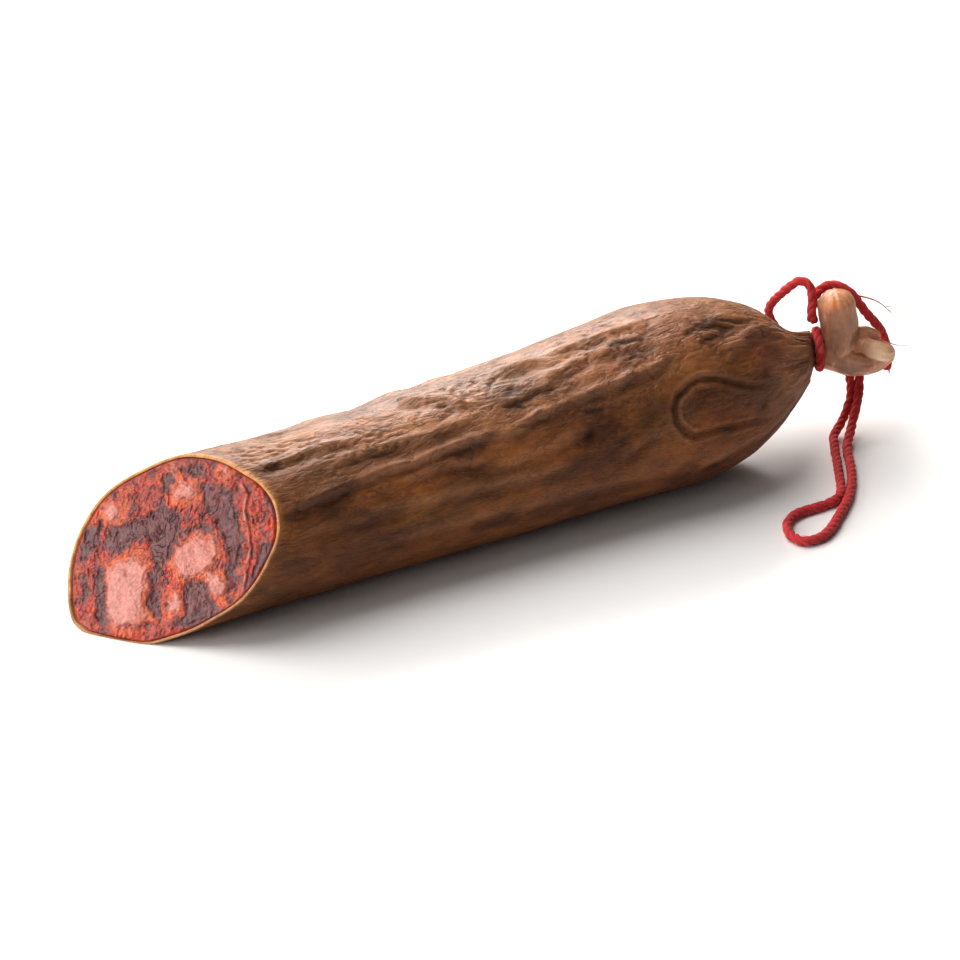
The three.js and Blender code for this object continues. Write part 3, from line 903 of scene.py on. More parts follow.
def tail_material(name, looks):
    """Dried gut without meat in it: pale tan to cream, whitish streaks, orange where it is thin,
    a painted highlight on the nub and painted shade along the creases beside it.
    """
    graph = Graph(name)
    place = graph.place()
    long_ = graph.stretched(place, (1.0, 1.0, 0.25))
    streaks = graph.cloud(long_, 500.0, 4.0, 0.65, 0.3)
    broad = graph.cloud(place, 110.0, 3.0, 0.6)
    fine = graph.cloud(place, 1400.0, 4.0, 0.7)
    orange = graph.cloud(graph.moved(place, (0.2, 0.6, 0.9)), 95.0, 3.0, 0.6)
    colour = graph.mix(broad.ramp(-0.7, 0.7), shade(looks.tail_grey_and_crease_shade), shade(looks.tail_tan))
    colour = graph.mix(orange.ramp(0.1, 0.8) * 0.6, colour, shade(looks.tail_orange))
    colour = graph.mix(streaks.ramp(0.2, 0.9) * 0.5, colour, shade(looks.tail_cream_and_highlight))
    # Spots: a cream painted highlight on the nub, grey painted shade along the creases beside it, then
    # orange and tan at the column's top.
    for place_at, wide, paint, weight in (
        ([19.3, 1.6, -6.4], 6.5, looks.tail_cream_and_highlight, 1.0),
        ([10.4, 5.0, -5.6], 1.9, looks.tail_grey_and_crease_shade, 0.8),
        ([12.6, 1.2, -6.2], 1.7, looks.tail_grey_and_crease_shade, 0.8),
        ([17.5, -0.9, -6.6], 1.6, looks.tail_grey_and_crease_shade, 0.7),
        ([3.0, 18.6, -5.0], 3.0, looks.tail_orange, 0.9),
        ([6.0, 20.5, -2.0], 5.0, looks.tail_tan, 0.7),
    ):
        spot = graph.near(place, fold_points([place_at])[0], wide * MM)
        colour = graph.mix(spot * weight, colour, shade(paint))
    tone = streaks * 0.16 + fine * 0.09 + 1.0
    colour = graph.dimmed(colour, tone)
    height = streaks * (0.12 * MM) + fine * (0.03 * MM)
    rough_ = (0.42 + broad * 0.08).clamped()
    constants = {
        "Subsurface Weight": 0.2,
        "Subsurface Radius": (1.0, 0.5, 0.3),
        "Subsurface Scale": 3 * MM,
        "Coat Weight": 0.1,
        "Coat Roughness": 0.3,
    }
    return graph.surface(colour, rough_, height, constants)


def string_material(name, looks, pale=0.0):
    """Crimson cotton: fine fibres along each ply, darker between them, matt."""
    graph = Graph(name)
    laid = graph.attribute("laid", "Vector")
    fibres = graph.cloud(graph.stretched(laid, (0.12, 1.0, 1.0)), 3600.0, 3.0, 0.6)
    patches = graph.cloud(laid, 320.0, 3.0, 0.6)
    colour = graph.mix((fibres * 0.5 + 0.5).clamped(), shade(looks.string_dark), shade(looks.string_red))
    colour = graph.mix(patches.ramp(0.1, 1.0) * 0.5, colour, shade(looks.string_light))
    colour = graph.mix(pale, colour, shade(looks.fibre_pale))
    height = fibres * (0.06 * MM)
    rough_ = (0.85 + fibres * 0.05).clamped()
    constants = {"Sheen Weight": 0.12, "Sheen Roughness": 0.5, "Specular IOR Level": 0.15}
    return graph.surface(colour, rough_, height, constants)


def floor_material(name, looks):
    """Smooth pale studio floor."""
    graph = Graph(name)
    place = graph.place()
    cloud = graph.cloud(place, 3.0, 2.0, 0.5)
    colour = graph.mix((cloud * 0.5 + 0.5).clamped(), shade(looks.floor, 0.995), shade(looks.floor))
    return graph.surface(colour, 0.2 + cloud * 0.02, cloud * 0.0, {"Specular IOR Level": 0.9})


# Settings.


def colour_property(name, description, default):
    """A colour on the panel."""
    return bpy.props.FloatVectorProperty(
        name=name, description=description, subtype="COLOR", size=3, min=0.0, max=1.0, default=default
    )


def length_property(name, description, default):
    """A length on the panel, in metres."""
    return bpy.props.FloatProperty(
        name=name, description=description, subtype="DISTANCE", unit="LENGTH", default=default, precision=5
    )


class SausageLooks(bpy.types.PropertyGroup):
    """Colours of every piece."""

    # Also the painted shade on the underside and the back.
    gut_dark_and_shade: colour_property("Gut, dark", "Darker brown of the dried gut", (0.115, 0.032, 0.007))
    gut_brown: colour_property("Gut, brown", "Main brown of the dried gut", (0.35, 0.108, 0.021))
    gut_ochre: colour_property("Gut, ochre", "Olive brown areas", (0.34, 0.134, 0.017))
    gut_red: colour_property("Gut, red", "Areas where the meat shows through", (0.34, 0.052, 0.016))
    # Painted highlight on the top and on the crests of folds, and lighter tan patches.
    gut_tan_and_highlight: colour_property("Gut, tan", "Dry upper side", (0.50, 0.235, 0.12))
    # Bloom flecks at the neck, and grey patches on the top that are partly painted highlight.
    gut_bloom_and_sheen: colour_property("Gut, bloom", "Grey bloom on the upper side", (0.44, 0.26, 0.19))
    # Painted shade at the bottom of folds and along crease lines.
    gut_fold_shade: colour_property("Gut, folds", "Bottom of folds and wrinkles", (0.024, 0.006, 0.002))
    gut_edge: colour_property("Gut, cut edge", "Pale edge of the gut at the cut", (0.82, 0.36, 0.11))
    meat_red: colour_property("Meat, red", "Paprika-red meat", (0.54, 0.040, 0.010))
    meat_deep: colour_property("Meat, deep red", "Darker meat", (0.15, 0.010, 0.007))
    meat_orange: colour_property("Meat, orange", "Paprika-stained fat", (0.74, 0.130, 0.024))
    # Painted shade in the gaps.
    meat_gap_shade: colour_property("Meat, gaps", "Dark gaps between pieces", (0.040, 0.004, 0.004))
    fat_pale: colour_property("Fat, pale", "Palest pink fat", (0.63, 0.245, 0.190))
    fat_rose: colour_property("Fat, rose", "Pinker fat", (0.52, 0.115, 0.072))
    lean_dark: colour_property("Lean, dark", "Dark dried lean meat", (0.032, 0.008, 0.010))
    lean_grey: colour_property("Lean, grey", "Lighter dried lean meat", (0.19, 0.054, 0.056))
    tail_tan: colour_property("Tail, tan", "Main colour of the empty gut", (0.62, 0.255, 0.120))
    # Greyer areas, and painted shade along the tail's creases.
    tail_grey_and_crease_shade: colour_property("Tail, grey", "Greyer areas", (0.31, 0.135, 0.075))
    tail_orange: colour_property("Tail, orange", "Thin orange areas", (0.82, 0.24, 0.06))
    # Whitish streaks, and the painted highlight on the tail's nub.
    tail_cream_and_highlight: colour_property("Tail, cream", "Whitish streaks", (1.0, 0.68, 0.42))
    string_red: colour_property("String, red", "Crimson cotton", (0.66, 0.050, 0.048))
    string_dark: colour_property("String, dark", "Between the fibres", (0.33, 0.014, 0.017))
    string_light: colour_property("String, light", "Worn fibres", (0.80, 0.14, 0.11))
    fibre_pale: colour_property("Fibres, pale", "Loose pale fibres", (0.62, 0.48, 0.34))
    floor: colour_property("Floor", "Studio floor", (0.93, 0.93, 0.93))


class SausageSizes(bpy.types.PropertyGroup):
    """Sizes that can be changed on the panel."""

    gut_wall: length_property("Gut wall", "Thickness of the dried gut", GUT_WALL)
    string_wide: length_property("String", "Diameter of the string", STRING_WIDE)
    ply_turn: length_property("Ply turn", "Length in which a ply goes once round the string", 9 * MM)
    fluff: length_property("Fluff", "Length of the string's loose hairs", 1.6 * MM)


# Pieces.


def finish_piece(piece, material, nodes=()):
    """Gives a piece its material and its body, and hides the CAD nodes it stands for."""
    piece.data.materials.clear()
    piece.data.materials.append(material)
    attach(piece, "root")
    if nodes:
        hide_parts(*nodes)


def string_mesh(name, path, run, wide, turn, closed=False):
    """String of three plies. Each ply's middle goes round the path on a circle of PLY_REACH times
    the string's radius, once in each turn, and is PLY_THICK times it thick. Open ends taper."""
    sides, ups, ahead = turning_frame(path, closed)
    radius = wide / 2
    total = run[-1]
    turns = max(1, round(total / turn)) if closed else total / turn
    around = np.linspace(0, 2 * math.pi, 10, endpoint=False)
    points, quads, triangles, laid = [], [], [], []
    slip = 0.0
    if closed:
        # The frame comes back turned by some angle, which the plies make up on the way.
        last = sides[-1] - ahead[0] * (sides[-1] @ ahead[0])
        slip = math.atan2(last @ ups[0], last @ sides[0])
    for ply in range(3):
        wander = noise(path + ply * 0.05, 4 * MM, SEED + 200 + ply)
        phase = (2 * math.pi * turns - slip) * run / total + 2 * math.pi * ply / 3
        phase = phase + (0 if closed else 0.5 * wander)
        reach = radius * PLY_REACH * (1 + 0.15 * wander)
        middle = path + reach[:, None] * (np.cos(phase)[:, None] * sides + np.sin(phase)[:, None] * ups)
        thick = radius * PLY_THICK * (1 + 0.16 * noise(path + ply * 0.09, 2.4 * MM, SEED + 210 + ply))
        if not closed:
            ends = np.minimum(run, total - run) / (0.7 * radius)
            thick = thick * np.sqrt(np.clip(1 - (1 - np.clip(ends, 0, 1)) ** 2, 0.12, 1))
        ply_side, ply_up, _ = turning_frame(middle, closed)
        round_ = np.cos(around)[None, :, None] * ply_side[:, None]
        round_ = round_ + np.sin(around)[None, :, None] * ply_up[:, None]
        ring = middle[:, None] + thick[:, None, None] * round_
        uneven = 0.08 * MM * noise(ring, 0.9 * MM, SEED + 220 + ply)
        ring = ring + uneven[..., None] * (ring - middle[:, None]) / thick[:, None, None]
        start = sum(len(p) for p in points)
        along = np.broadcast_to(run[:, None], ring.shape[:2])
        spread = np.stack(
            [
                along,
                np.broadcast_to(np.cos(around) * radius * PLY_THICK, ring.shape[:2]),
                np.broadcast_to(np.sin(around) * radius * PLY_THICK + ply * 0.01, ring.shape[:2]),
            ],
            -1,
        )
        if closed:
            count = len(around)
            rows = len(path) - 1
            ring, spread = ring[:-1], spread[:-1]
            here = np.arange(count)
            after = (here + 1) % count
            base = np.arange(rows)[:, None] * count
            following = (np.arange(rows)[:, None] + 1) % rows * count
            joined = np.stack([base + here, base + after, following + after, following + here], -1)
            points.append(ring.reshape(-1, 3))
            quads.append(joined.reshape(-1, 4) + start)
            laid.append(spread.reshape(-1, 3))
        else:
            ring_points, ring_quads, ring_fans = closed_rings(ring)
            points.append(ring_points)
            quads.append(ring_quads + start)
            triangles.append(ring_fans + start)
            laid.append(with_ends(spread))
    points = np.vstack(points)
    triangles = np.vstack(triangles) if triangles else np.zeros((0, 3), int)
    return make_object(name, points, np.vstack(quads), triangles, {"laid": np.vstack(laid)})


def thin_tubes(name, paths, thicks, count=5):
    """Thin round tubes along several paths, each with its own thickness that tapers to the tip."""
    around = np.linspace(0, 2 * math.pi, count, endpoint=False)
    points, quads, triangles, laid = [], [], [], []
    start = 0
    for path, thick in zip(paths, thicks):
        sides, ups, _ = turning_frame(path)
        part = np.linspace(0, 1, len(path))
        radius = 0.5 * thick * (1 - 0.75 * part**2)
        ring = path[:, None] + radius[:, None, None] * (
            np.cos(around)[None, :, None] * sides[:, None] + np.sin(around)[None, :, None] * ups[:, None]
        )
        ring_points, ring_quads, ring_fans = closed_rings(ring)
        points.append(ring_points)
        quads.append(ring_quads + start)
        triangles.append(ring_fans + start)
        laid.append(ring_points)
        start += len(ring_points)
    values = {"laid": np.vstack(laid)}
    return make_object(name, np.vstack(points), np.vstack(quads), np.vstack(triangles), values)


class SAUSAGE_OT_meat(bpy.types.Operator):
    """Meat filling: rings on the cut plane from its middle to the gut, then on along the body."""

    bl_idname = "sausage.meat"
    bl_label = "Meat filling"

    def execute(self, context):
        """Face point = middle + share x (rim - middle) + relief along the cut's normal."""
        looks = context.scene.sausage_looks
        inset = context.scene.sausage_sizes.gut_wall + 0.02 * MM
        angle = np.linspace(-math.pi, math.pi, FACE_COLUMNS, endpoint=False)
        rim_s = rim_distance(angle, inset)
        rim = on_floor(body_point(rim_s, angle, inset))
        share = (np.arange(1, FACE_ROWS + 1) / FACE_ROWS)[:, None]
        flat = CUT_CENTRE + share[..., None] * (rim - CUT_CENTRE)[None]
        across = (flat - CUT_CENTRE) @ FACE_RIGHT / MM
        along = (flat - CUT_CENTRE) @ FACE_UP / MM
        values, relief = face_values(across, along, share)
        face = flat + relief[..., None] * CUT_NORMAL
        side_part = (np.arange(1, MEAT_SIDE_ROWS + 1) / MEAT_SIDE_ROWS)[:, None]
        side_s = rim_s + (MEAT_END - 0.5 * MM - rim_s) * ease(side_part * 0.5) * 2
        tuck = MEAT_TUCK * ease((side_s - rim_s) / RIM_HOLD) + 0.1 * MM
        side = neck_groove(on_floor(body_point(side_s, angle, inset + tuck)), MEAT_NECK_INSET)
        rings = np.concatenate([face, side])
        points, quads, triangles = closed_rings(rings)
        full = {}
        for key, value in values.items():
            tail = np.broadcast_to(value[-1], (MEAT_SIDE_ROWS, FACE_COLUMNS))
            full[key] = with_ends(np.concatenate([value, tail]))
        piece = make_object("cured_meat", points, quads, triangles, full)
        finish_piece(piece, meat_material("cut meat", looks), ["meat_filling"])
        return {"FINISHED"}


def face_values(across, along, share):
    """Named values of the cut face and its relief in metres, for points in millimetres on it.

    Patches are outlines whose edges wander by noise; grains are random cells a millimetre or two
    wide, with gaps where two meet that are darkened as painted shade."""
    flat = np.stack([across, along, np.zeros_like(across)], -1)
    warps = []
    for seed in (SEED + 100, SEED + 110):
        warp = 1.3 * noise(flat, 5.0, seed) + 0.75 * noise(flat, 1.9, seed + 1)
        warps.append(warp + 0.26 * noise(flat, 0.9, seed + 2) + 0.1 * noise(flat, 0.5, seed + 3))
    x, y = across + warps[0], along + warps[1]
    fat_edge = np.min([in_patch(x, y, patch) for patch in FAT_PATCHES], axis=0)
    lean_edge = np.min([in_patch(x, y, patch) for patch in LEAN_PATCHES], axis=0)
    patchy = rough(flat, 2.6, SEED + 120, 4)
    strands = rough(flat, np.array([0.9, 3.6, 1.0]), SEED + 121, 3)
    fat = 1 - ease((fat_edge + 0.9 + 1.2 * patchy + 0.35 * strands) / 2.1)
    lean_wander = 1.1 * patchy + 0.45 * strands
    lean = 1 - ease((lean_edge + 0.4 + lean_wander) / 1.2)
    lean = lean * (1 - fat)

    near, second, tone = grains(np.stack([x, y], -1), 1.7, SEED + 130)
    small_near, small_second, small_tone = grains(np.stack([x * 1.1, y], -1), 0.75, SEED + 131)
    border = 1 - ease((second - near) / 0.16)
    small_border = 1 - ease((small_second - small_near) / 0.2)
    open_meat = np.clip(1 - fat - lean, 0, 1)
    lumps = rough(flat, np.array([2.6, 3.6, 3.0]), SEED + 132, 3)
    crumb = ease((tone - 0.9) / 0.05) * (1 - ease((near - 0.3) / 0.3)) * open_meat
    fat = np.clip(fat + 0.3 * ease((lumps - 0.4) / 0.25) * open_meat, 0, 1)
    stray = ease((-0.12 - lumps) / 0.2) * open_meat
    lean = np.clip(lean + 0.75 * stray, 0, 1)
    clots = rough(flat, 1.3, SEED + 133, 3)
    grain = np.clip(0.24 * tone + 0.16 * small_tone + 0.3 + 0.5 * lumps + 0.6 * clots, 0, 1)

    gap = border * (0.22 * open_meat + 0.08) + 0.12 * small_border * open_meat
    for size, seed, thin in ((np.array([2.4, 6.0, 4.0]), SEED + 140, 0.11), (2.8, SEED + 145, 0.09)):
        crossing = noise(flat + 0.5 * noise(flat, 1.4, seed + 2)[..., None], size, seed)
        tear = (1 - ease(np.abs(crossing) / thin)) * ease(0.15 + 1.6 * noise(flat, 5.0, seed + 1))
        gap = gap + 0.8 * tear * (1 - 0.8 * fat)
    lean_line = 1 - ease(np.abs(lean_edge + 0.9 + lean_wander) / 0.55)
    gap = gap + 0.75 * ease(0.5 + 1.5 * lumps) * lean_line * (1 - fat)
    gap = gap + 0.25 * (1 - ease(np.abs(fat_edge) / 0.4)) * (1 - 0.6 * fat)
    line, side, part = to_line(x * 0.3 + across * 0.7, y * 0.3 + along * 0.7, SINEW_LINE)
    broken = ease(0.75 + 1.2 * noise(flat, 3.0, SEED + 148))
    sinew = (1 - ease((line - 0.12) / 0.4)) * ease(part / 0.1) * ease((1 - part) / 0.1) * broken
    seam = bump(line - 0.85, 0.35)
    gap = np.clip(gap + 0.6 * seam * (side > 0), 0, 1) * (1 - sinew)
    halo = bump(fat_edge + 0.9 * patchy - 0.6, 1.9) * ease(0.6 + 1.5 * lumps)
    halo = np.clip(halo * (1 - 0.6 * fat) * (1 - 0.6 * lean) + 0.4 * crumb, 0, 1)
    rim = ease((share - 0.972) / 0.02) * np.ones_like(across)

    height = 0.2 * fat - 0.08 * lean - 0.34 * gap + 0.2 * sinew
    height += (0.05 - 0.04 * fat) * strands + (0.11 - 0.06 * fat) * patchy
    height += 0.06 * (1 - near) * open_meat + 0.02 * (0.6 - small_near)
    height += 0.4 * rough(flat, 9.0, SEED + 150, 3) + 0.03 * noise(flat, 0.6, SEED + 151)
    held = 1 - ease((share - 0.95) / 0.05)
    relief = MM * (height * held - 0.35 * ease((share - 0.97) / 0.03))
    strand = np.clip(0.5 + 0.8 * strands + 0.3 * patchy, 0, 1)
    values = {"fat": fat, "lean": lean, "sinew": sinew, "gap": gap, "grain": grain, "halo": halo}
    values.update({"rim": rim, "strand": strand})
    return values, relief


class SAUSAGE_OT_skin(bpy.types.Operator):
    """Gut round the meat: a closed shell from the cut to the neck."""

    bl_idname = "sausage.skin"
    bl_label = "Gut skin"

    def execute(self, context):
        """Outer wall = body ring at s between the rim and the neck + relief along its normal; the
        inner wall follows one wall thickness inside, and a rounded lip joins them at the cut."""
        looks = context.scene.sausage_looks
        wall = context.scene.sausage_sizes.gut_wall
        angle = skin_columns(SKIN_COLUMNS)
        rim_s = rim_distance(angle)
        inner_s = rim_distance(angle, wall)
        part = (np.arange(SKIN_ROWS) / (SKIN_ROWS - 1))[:, None]
        s = rim_s + (NECK_LENGTH + 1.5 * MM - rim_s) * part
        turn = np.broadcast_to(angle, s.shape)
        base = body_point(s, turn)
        height, dip, crest_highlight = skin_relief(s, turn)
        held = ease((s - rim_s) / RIM_HOLD) * ease((base[..., 2] + FLAT_DEPTH) / FLOOR_HOLD)
        outer = neck_groove(on_floor(base + (height * held)[..., None] * outward(base)))
        inner_rim = on_floor(body_point(inner_s, angle, wall))
        middle = (inner_rim + outer[0]) / 2
        half = (outer[0] - inner_rim) / 2
        lips = []
        ragged = 0.3 * MM * noise(outer[0], 3 * MM, SEED + 90)[:, None]
        for step in LIP_STEPS:
            lift = LIP_HEIGHT * math.sqrt(1 - step * step)
            lips.append(middle + half * step + (lift + ragged * (1 - step * step)) * CUT_NORMAL)
        inner_part = (np.arange(SKIN_INNER_ROWS) / (SKIN_INNER_ROWS - 1))[:, None]
        deep_s = inner_s + (MEAT_END - inner_s) * inner_part
        tuck = GUT_TUCK * ease((deep_s - inner_s) / RIM_HOLD)
        inner = neck_groove(on_floor(body_point(deep_s, turn[:1], wall + tuck)), GUT_NECK_INSET)
        rings = np.concatenate([outer[::-1], np.array(lips), inner])
        points, quads, triangles = closed_rings(rings)

        extra = len(lips) + len(inner)
        laid = np.concatenate([laid_out(s, turn)[::-1], np.repeat(laid_out(s, turn)[:1], extra, axis=0)])
        degrees = np.degrees(turned_angle(turn))
        # Painted top light: paler where light falls on the top, most at about 95 mm from the cut.
        lit = ease((75 - np.abs(degrees)) / 55)
        lit = lit * (0.7 + 0.4 * bump(s - 95 * MM, 48 * MM))
        ruddy = np.zeros(s.shape)
        for at, turn_at, long_, wide, strength in RUDDY_PATCHES:
            ruddy += strength * bump(s - at * MM, long_ * MM) * bump(degrees - turn_at, wide)
        # Painted shade on the underside, and more weakly on the back.
        below = np.maximum(ease((degrees - 78) / 50), 0.8 * ease((-degrees - 30) / 40))
        smudge = np.zeros(s.shape)
        for at, turn_at, wide, deep in SKIN_SMUDGES:
            arc = (turned_angle(turn) - math.radians(turn_at)) * LAID_RADIUS
            smudge += deep * bump(np.hypot(s - at * MM, 1.3 * arc), wide * MM)
        wavy = 1 + 0.9 * rough(laid_out(s, turn), 7 * MM, SEED + 95, 3)
        smudge = np.clip(smudge * wavy, 0, 1)
        lively = 0.3 + 0.7 * ease(0.5 - 0.9 * np.sin(angle - 0.9)) * np.ones((1, SKIN_COLUMNS))
        near_cut = bump((s - rim_s) / (0.9 * MM), 1.0) * 0.7 * lively
        ones = np.ones((extra, SKIN_COLUMNS))
        values = {"laid": with_ends(laid)}
        for key, outside, inside in (
            ("dip", dip, 0 * ones),
            ("under", below, 0 * ones),
            ("smudge", smudge, 0 * ones),
            ("crest", crest_highlight, 0 * ones),
            ("neck", ease((s - 219 * MM) / (15 * MM)), 0 * ones),
            ("upper", lit, ones),
            ("ruddy", ruddy, 0 * ones),
            ("edge", near_cut, lively * ones),
        ):
            values[key] = with_ends(np.concatenate([outside[::-1], inside]))
        piece = make_object("gut_skin", points, quads, triangles, values)
        finish_piece(piece, gut_material("dried gut", looks), ["casing"])
        return {"FINISHED"}


def tail_fold(fold, number):
    """Rings of one fold: a round tube along its curve, closed by half balls, its surface moved in
    and out by lengthwise pleats and small lumps."""
    rows = np.column_stack([fold_points(fold[:, :3]), fold[:, 3] * MM])
    path, run = spline(rows, 0.5 * MM)
    middle, radius = path[:, :3], path[:, 3]
    sides, ups, ahead = turning_frame(middle)
    around = np.linspace(0, 2 * math.pi, 72, endpoint=False)
    cosine, sine = np.cos(around)[:, None], np.sin(around)[:, None]
    body = [m + r * (cosine * side + sine * up) for m, r, side, up in zip(middle, radius, sides, ups)]
    arc = np.linspace(0, math.pi / 2, 12)[1:-1]
    caps = []
    for end, way in ((0, -1), (-1, 1)):
        spin = cosine * sides[end] + sine * ups[end]
        caps.append(
            [
                middle[end] + radius[end] * (way * 0.85 * math.sin(a) * ahead[end] + math.cos(a) * spin)
                for a in arc
            ]
        )
    rings = np.array(caps[0][::-1] + body + caps[1])
    along = np.concatenate([np.full(len(arc), run[0]), run, np.full(len(arc), run[-1])])[:, None]
    twist = 2.2 * noise(rings, 9 * MM, SEED + 300 + number)
    pleats = np.cos(7 * around + twist + along / (9 * MM)) + 0.6 * np.cos(17 * around - twist)
    lumps = rough(rings, 6 * MM, SEED + 310 + number, 3)
    return rings + MM * (0.17 * pleats + 0.45 * lumps)[..., None] * outward(rings)


class SAUSAGE_OT_tail(bpy.types.Operator):
    """Empty end of the gut, folded back over itself twice past the neck tie."""

    bl_idname = "sausage.tail"
    bl_label = "Gut tail"

    def execute(self, context):
        """Each fold is a pleated tube; a fine remesh joins them where they press on each other."""
        looks = context.scene.sausage_looks
        points, quads, triangles = [], [], []
        start = 0
        for number, fold in enumerate(TAIL_FOLDS):
            rings = tail_fold(np.asarray(fold, float), number)
            fold_corners, fold_quads, fold_fans = closed_rings(rings)
            points.append(fold_corners)
            quads.append(fold_quads + start)
            triangles.append(fold_fans + start)
            start += len(fold_corners)
        piece = make_object("gut_tail", np.vstack(points), np.vstack(quads), np.vstack(triangles))
        knit = piece.modifiers.new("Join folds", "REMESH")
        knit.mode = "VOXEL"
        knit.voxel_size = TAIL_MESH
        knit.use_smooth_shade = True
        soften = piece.modifiers.new("Soften", "SMOOTH")
        soften.factor = 0.5
        soften.iterations = 4
        finish_piece(piece, tail_material("empty gut", looks))
        return {"FINISHED"}


class SAUSAGE_OT_ties(bpy.types.Operator):
    """The string round the neck and the one over the folded tail."""

    bl_idname = "sausage.ties"
    bl_label = "Ties"

    def execute(self, context):
        """Both are three-ply string: one swept round a leaning ring, one along its route."""
        looks = context.scene.sausage_looks
        sizes = context.scene.sausage_sizes
        middle = fold_points([NECK_TIE_MIDDLE])[0]
        turn = np.linspace(0, 2 * math.pi, 91)
        upright = math.cos(NECK_TIE_LEAN) * FOLD_UP + math.sin(NECK_TIE_LEAN) * FOLD_OUT
        path = middle + NECK_TIE_RADIUS * (
            np.cos(turn)[:, None] * FOLD_BACK + np.sin(turn)[:, None] * upright
        )
        run = turn * NECK_TIE_RADIUS
        red = string_material("red string", looks)
        piece = string_mesh("neck_string", path, run, sizes.string_wide, sizes.ply_turn, closed=True)
        finish_piece(piece, red, ["neck_tie"])
        path, run = spline(fold_points(TAIL_TIE_ROUTE), STRING_STEP)
        piece = string_mesh("tail_string", path, run, sizes.string_wide, sizes.ply_turn)
        finish_piece(piece, red, ["tail_tie"])
        return {"FINISHED"}


class SAUSAGE_OT_cords(bpy.types.Operator):
    """The string's free end by the neck and the long loop it hangs by."""

    bl_idname = "sausage.cords"
    bl_label = "Free string"

    def execute(self, context):
        """Three-ply string along each route."""
        looks = context.scene.sausage_looks
        sizes = context.scene.sausage_sizes
        for name, route, node, far_end in (
            ("string_end", fold_points(TIE_END_ROUTE), "tie_end", "bare"),
            ("hanging_string", loop_points(), "hanging_loop", "object"),
        ):
            path, run = spline(route, STRING_STEP)
            piece = string_mesh(name, path, run, sizes.string_wide, sizes.ply_turn)
            finish_piece(piece, string_material("red string, " + name, looks), [node])
        return {"FINISHED"}


# Loose threads: out, up and back of the neck in millimetres, then thickness.
RED_THREADS = [
    ([[10.8, 17.4, 6.3], [13.5, 16.9, 6.2], [15.6, 16.6, 5.6], [18, 15.9, 5.2], [20.5, 14.5, 5],
      [22.8, 12.4, 5], [24, 11.4, 5]], 0.55),
    ([[17.5, 7.2, -3.2], [20.4, 6.2, -5.4], [24.2, 4.4, -5.4], [27.2, 4.1, -5.2], [29.1, 3.6, -5]], 0.42),
    ([[22.6, -1.6, -2.0], [23.2, -4.0, -1.6], [23.6, -6.2, -1.2], [23.9, -8.4, -1]], 1.1),
    ([[21.8, 13.4, 5], [22.8, 14.0, 4.8], [23.8, 13.6, 4.4]], 0.25),
]
PALE_THREADS = [
    ([[22.8, 12.6, 5], [25.9, 11.1, 5], [30.3, 8.5, 5], [35.7, 6.1, 5], [39.6, 4.4, 5]], 0.16),
    ([[22.6, 12.4, 5], [24.2, 11.0, 4], [25.6, 9.2, 3], [26.2, 6.0, 2], [25.3, 3.2, 1]], 0.16),
    ([[22.4, -1.8, -2.4], [24.4, -3.1, -2.2], [27.8, -5.0, -2], [31.2, -7.2, -2]], 0.16),
    ([[21, 13.5, 5.2], [23.5, 13.4, 5.4], [26.5, 12.2, 5.6]], 0.12),
]


class SAUSAGE_OT_threads(bpy.types.Operator):
    """Threads and hairs that have come loose from the string."""

    bl_idname = "sausage.threads"
    bl_label = "Loose threads"

    def execute(self, context):
        """Threads are thin tubes along their routes; hairs are short bent tubes of three rings that
        start on the string's surface and lean out of it at random."""
        looks = context.scene.sausage_looks
        sizes = context.scene.sausage_sizes
        paths = [spline(fold_points(route), THREAD_STEP)[0] for route, _ in RED_THREADS]
        thicks = [wide * MM for _, wide in RED_THREADS]
        random = np.random.default_rng(SEED)
        for route, per_metre in (
            (fold_points(TAIL_TIE_ROUTE), 2600),
            (fold_points(TIE_END_ROUTE), 1500),
            (loop_points(), 1500),
        ):
            line, run = spline(route, STRING_STEP)
            sides, ups, ahead = turning_frame(line)
            for _ in range(int(run[-1] * per_metre)):
                at = random.integers(2, len(line) - 2)
                turn = random.uniform(0, 2 * math.pi)
                out = math.cos(turn) * sides[at] + math.sin(turn) * ups[at]
                reach = sizes.fluff * random.uniform(0.3, 1.0)
                lean = ahead[at] * random.uniform(-0.8, 0.8)
                curl = random.normal(size=3) * 0.35
                root = line[at] + out * sizes.string_wide * 0.42
                middle = root + reach * 0.5 * (out * 0.6 + lean)
                tip = root + reach * (out * 0.8 + lean + curl)
                hair = np.array([root, middle, tip])
                hair[:, 2] = np.maximum(hair[:, 2], 0.05 * MM)
                paths.append(hair)
                thicks.append(random.uniform(0.05, 0.09) * MM)
        piece = thin_tubes("red_threads", paths, thicks)
        finish_piece(piece, string_material("red thread", looks))
        paths = [spline(fold_points(route), THREAD_STEP)[0] for route, _ in PALE_THREADS]
        piece = thin_tubes("pale_threads", paths, [wide * MM for _, wide in PALE_THREADS])
        finish_piece(piece, string_material("pale thread", looks, 0.9))
        return {"FINISHED"}


class SAUSAGE_OT_camera(bpy.types.Operator):
    """Camera above and in front of the cut, with a long lens."""

    bl_idname = "sausage.camera"
    bl_label = "Camera"

    def execute(self, context):
        """Looks along the way given by its turn and its angle down."""
        data = bpy.data.cameras.new("Camera")
        data.lens = CAMERA_LENS
        data.sensor_width = CAMERA_SENSOR
        data.clip_start = 0.01
        camera = bpy.data.objects.new("Camera", data)
        camera.location = CAMERA_PLACE
        ahead = Vector(
            (
                -math.sin(CAMERA_TURN) * math.cos(CAMERA_DOWN),
                math.cos(CAMERA_TURN) * math.cos(CAMERA_DOWN),
                -math.sin(CAMERA_DOWN),
            )
        )
        camera.rotation_mode = "QUATERNION"
        camera.rotation_quaternion = ahead.to_track_quat("-Z", "Y")
        context.scene.collection.objects.link(camera)
        context.scene.camera = camera
        return {"FINISHED"}


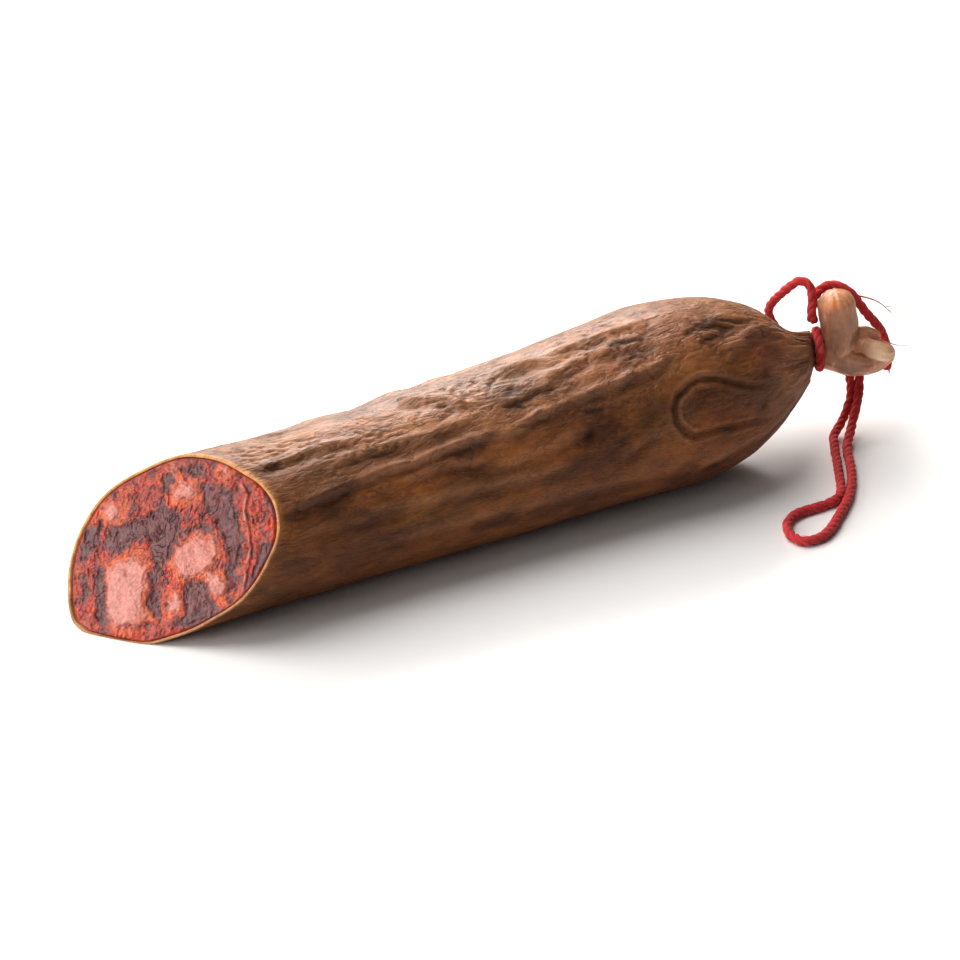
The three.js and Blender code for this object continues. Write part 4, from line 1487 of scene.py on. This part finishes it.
LIGHTS = [
    # name, kind, place, aimed at, width or angle, power, colour
    ("key", "SUN", (-0.38, 0.60, 1.0), (0.0, 0.0, 0.0), math.radians(62), 4.0, (1.0, 0.98, 0.95)),
    ("side fill", "AREA", (-1.30, -0.05, 0.42), (-0.1, 0.0, 0.03), 0.7, 10.0, (1.0, 0.98, 0.96)),
    ("back softbox", "AREA", (0.40, 0.95, 0.62), (0.05, 0.0, 0.03), 0.8, 13.0, (1.0, 0.95, 0.9)),
]
SKY = 0.085


class SAUSAGE_OT_stage(bpy.types.Operator):
    """White floor, soft lights and a white surround."""

    bl_idname = "sausage.stage"
    bl_label = "Studio"

    def execute(self, context):
        """A square floor at height nought, a sun and two area lights aimed at the sausage, and an
        even sky."""
        looks = context.scene.sausage_looks
        half = 4.0
        corners = np.array([[-half, -half, 0], [half, -half, 0], [half, half, 0], [-half, half, 0]])
        mesh = bpy.data.meshes.new("floor")
        mesh.from_pydata(corners.tolist(), [], [[0, 1, 2, 3]])
        floor = bpy.data.objects.new("floor", mesh)
        floor.data.materials.append(floor_material("studio floor", looks))
        context.scene.collection.objects.link(floor)
        for name, kind, place, aim, wide, power, colour in LIGHTS:
            data = bpy.data.lights.new(name, kind)
            if kind == "SUN":
                data.angle = wide
            else:
                data.shape = "DISK"
                data.size = wide
            data.energy = power
            data.color = colour
            light = bpy.data.objects.new(name, data)
            light.location = place
            light.rotation_mode = "QUATERNION"
            light.rotation_quaternion = (Vector(aim) - Vector(place)).to_track_quat("-Z", "Y")
            context.scene.collection.objects.link(light)
        world = bpy.data.worlds.new("surround")
        world.use_nodes = True
        background = world.node_tree.nodes["Background"]
        background.inputs["Color"].default_value = (1.0, 1.0, 1.0, 1.0)
        background.inputs["Strength"].default_value = SKY
        context.scene.world = world
        context.scene.view_settings.view_transform = "Standard"
        return {"FINISHED"}


class SAUSAGE_PT_panel(bpy.types.Panel):
    """Sausage settings and builders in the sidebar."""

    bl_label = "Cured sausage"
    bl_idname = "SAUSAGE_PT_panel"
    bl_space_type = "VIEW_3D"
    bl_region_type = "UI"
    bl_category = "Sausage"

    def draw(self, context):
        """Sizes, colours, then a button for each builder."""
        for group in (context.scene.sausage_sizes, context.scene.sausage_looks):
            for key in group.__annotations__:
                self.layout.prop(group, key)
        for builder in BUILDERS:
            self.layout.operator(builder.bl_idname)


BUILDERS = (
    SAUSAGE_OT_camera,
    SAUSAGE_OT_cords,
    SAUSAGE_OT_meat,
    SAUSAGE_OT_skin,
    SAUSAGE_OT_tail,
    SAUSAGE_OT_ties,
    SAUSAGE_OT_threads,
    SAUSAGE_OT_stage,
)
CLASSES = (SausageSizes, SausageLooks, *BUILDERS, SAUSAGE_PT_panel)


def register():
    """Adds the classes and the scene's settings."""
    for item in CLASSES:
        bpy.utils.register_class(item)
    bpy.types.Scene.sausage_sizes = bpy.props.PointerProperty(type=SausageSizes)
    bpy.types.Scene.sausage_looks = bpy.props.PointerProperty(type=SausageLooks)


def unregister():
    """Takes them away again."""
    del bpy.types.Scene.sausage_looks
    del bpy.types.Scene.sausage_sizes
    for item in reversed(CLASSES):
        bpy.utils.unregister_class(item)


def main():
    """Builds everything in order."""
    register()
    bpy.ops.sausage.camera()
    bpy.ops.sausage.cords()
    bpy.ops.sausage.meat()
    bpy.ops.sausage.skin()
    bpy.ops.sausage.tail()
    bpy.ops.sausage.ties()
    bpy.ops.sausage.threads()
    bpy.ops.sausage.stage()


if __name__ == "__main__":
    main()
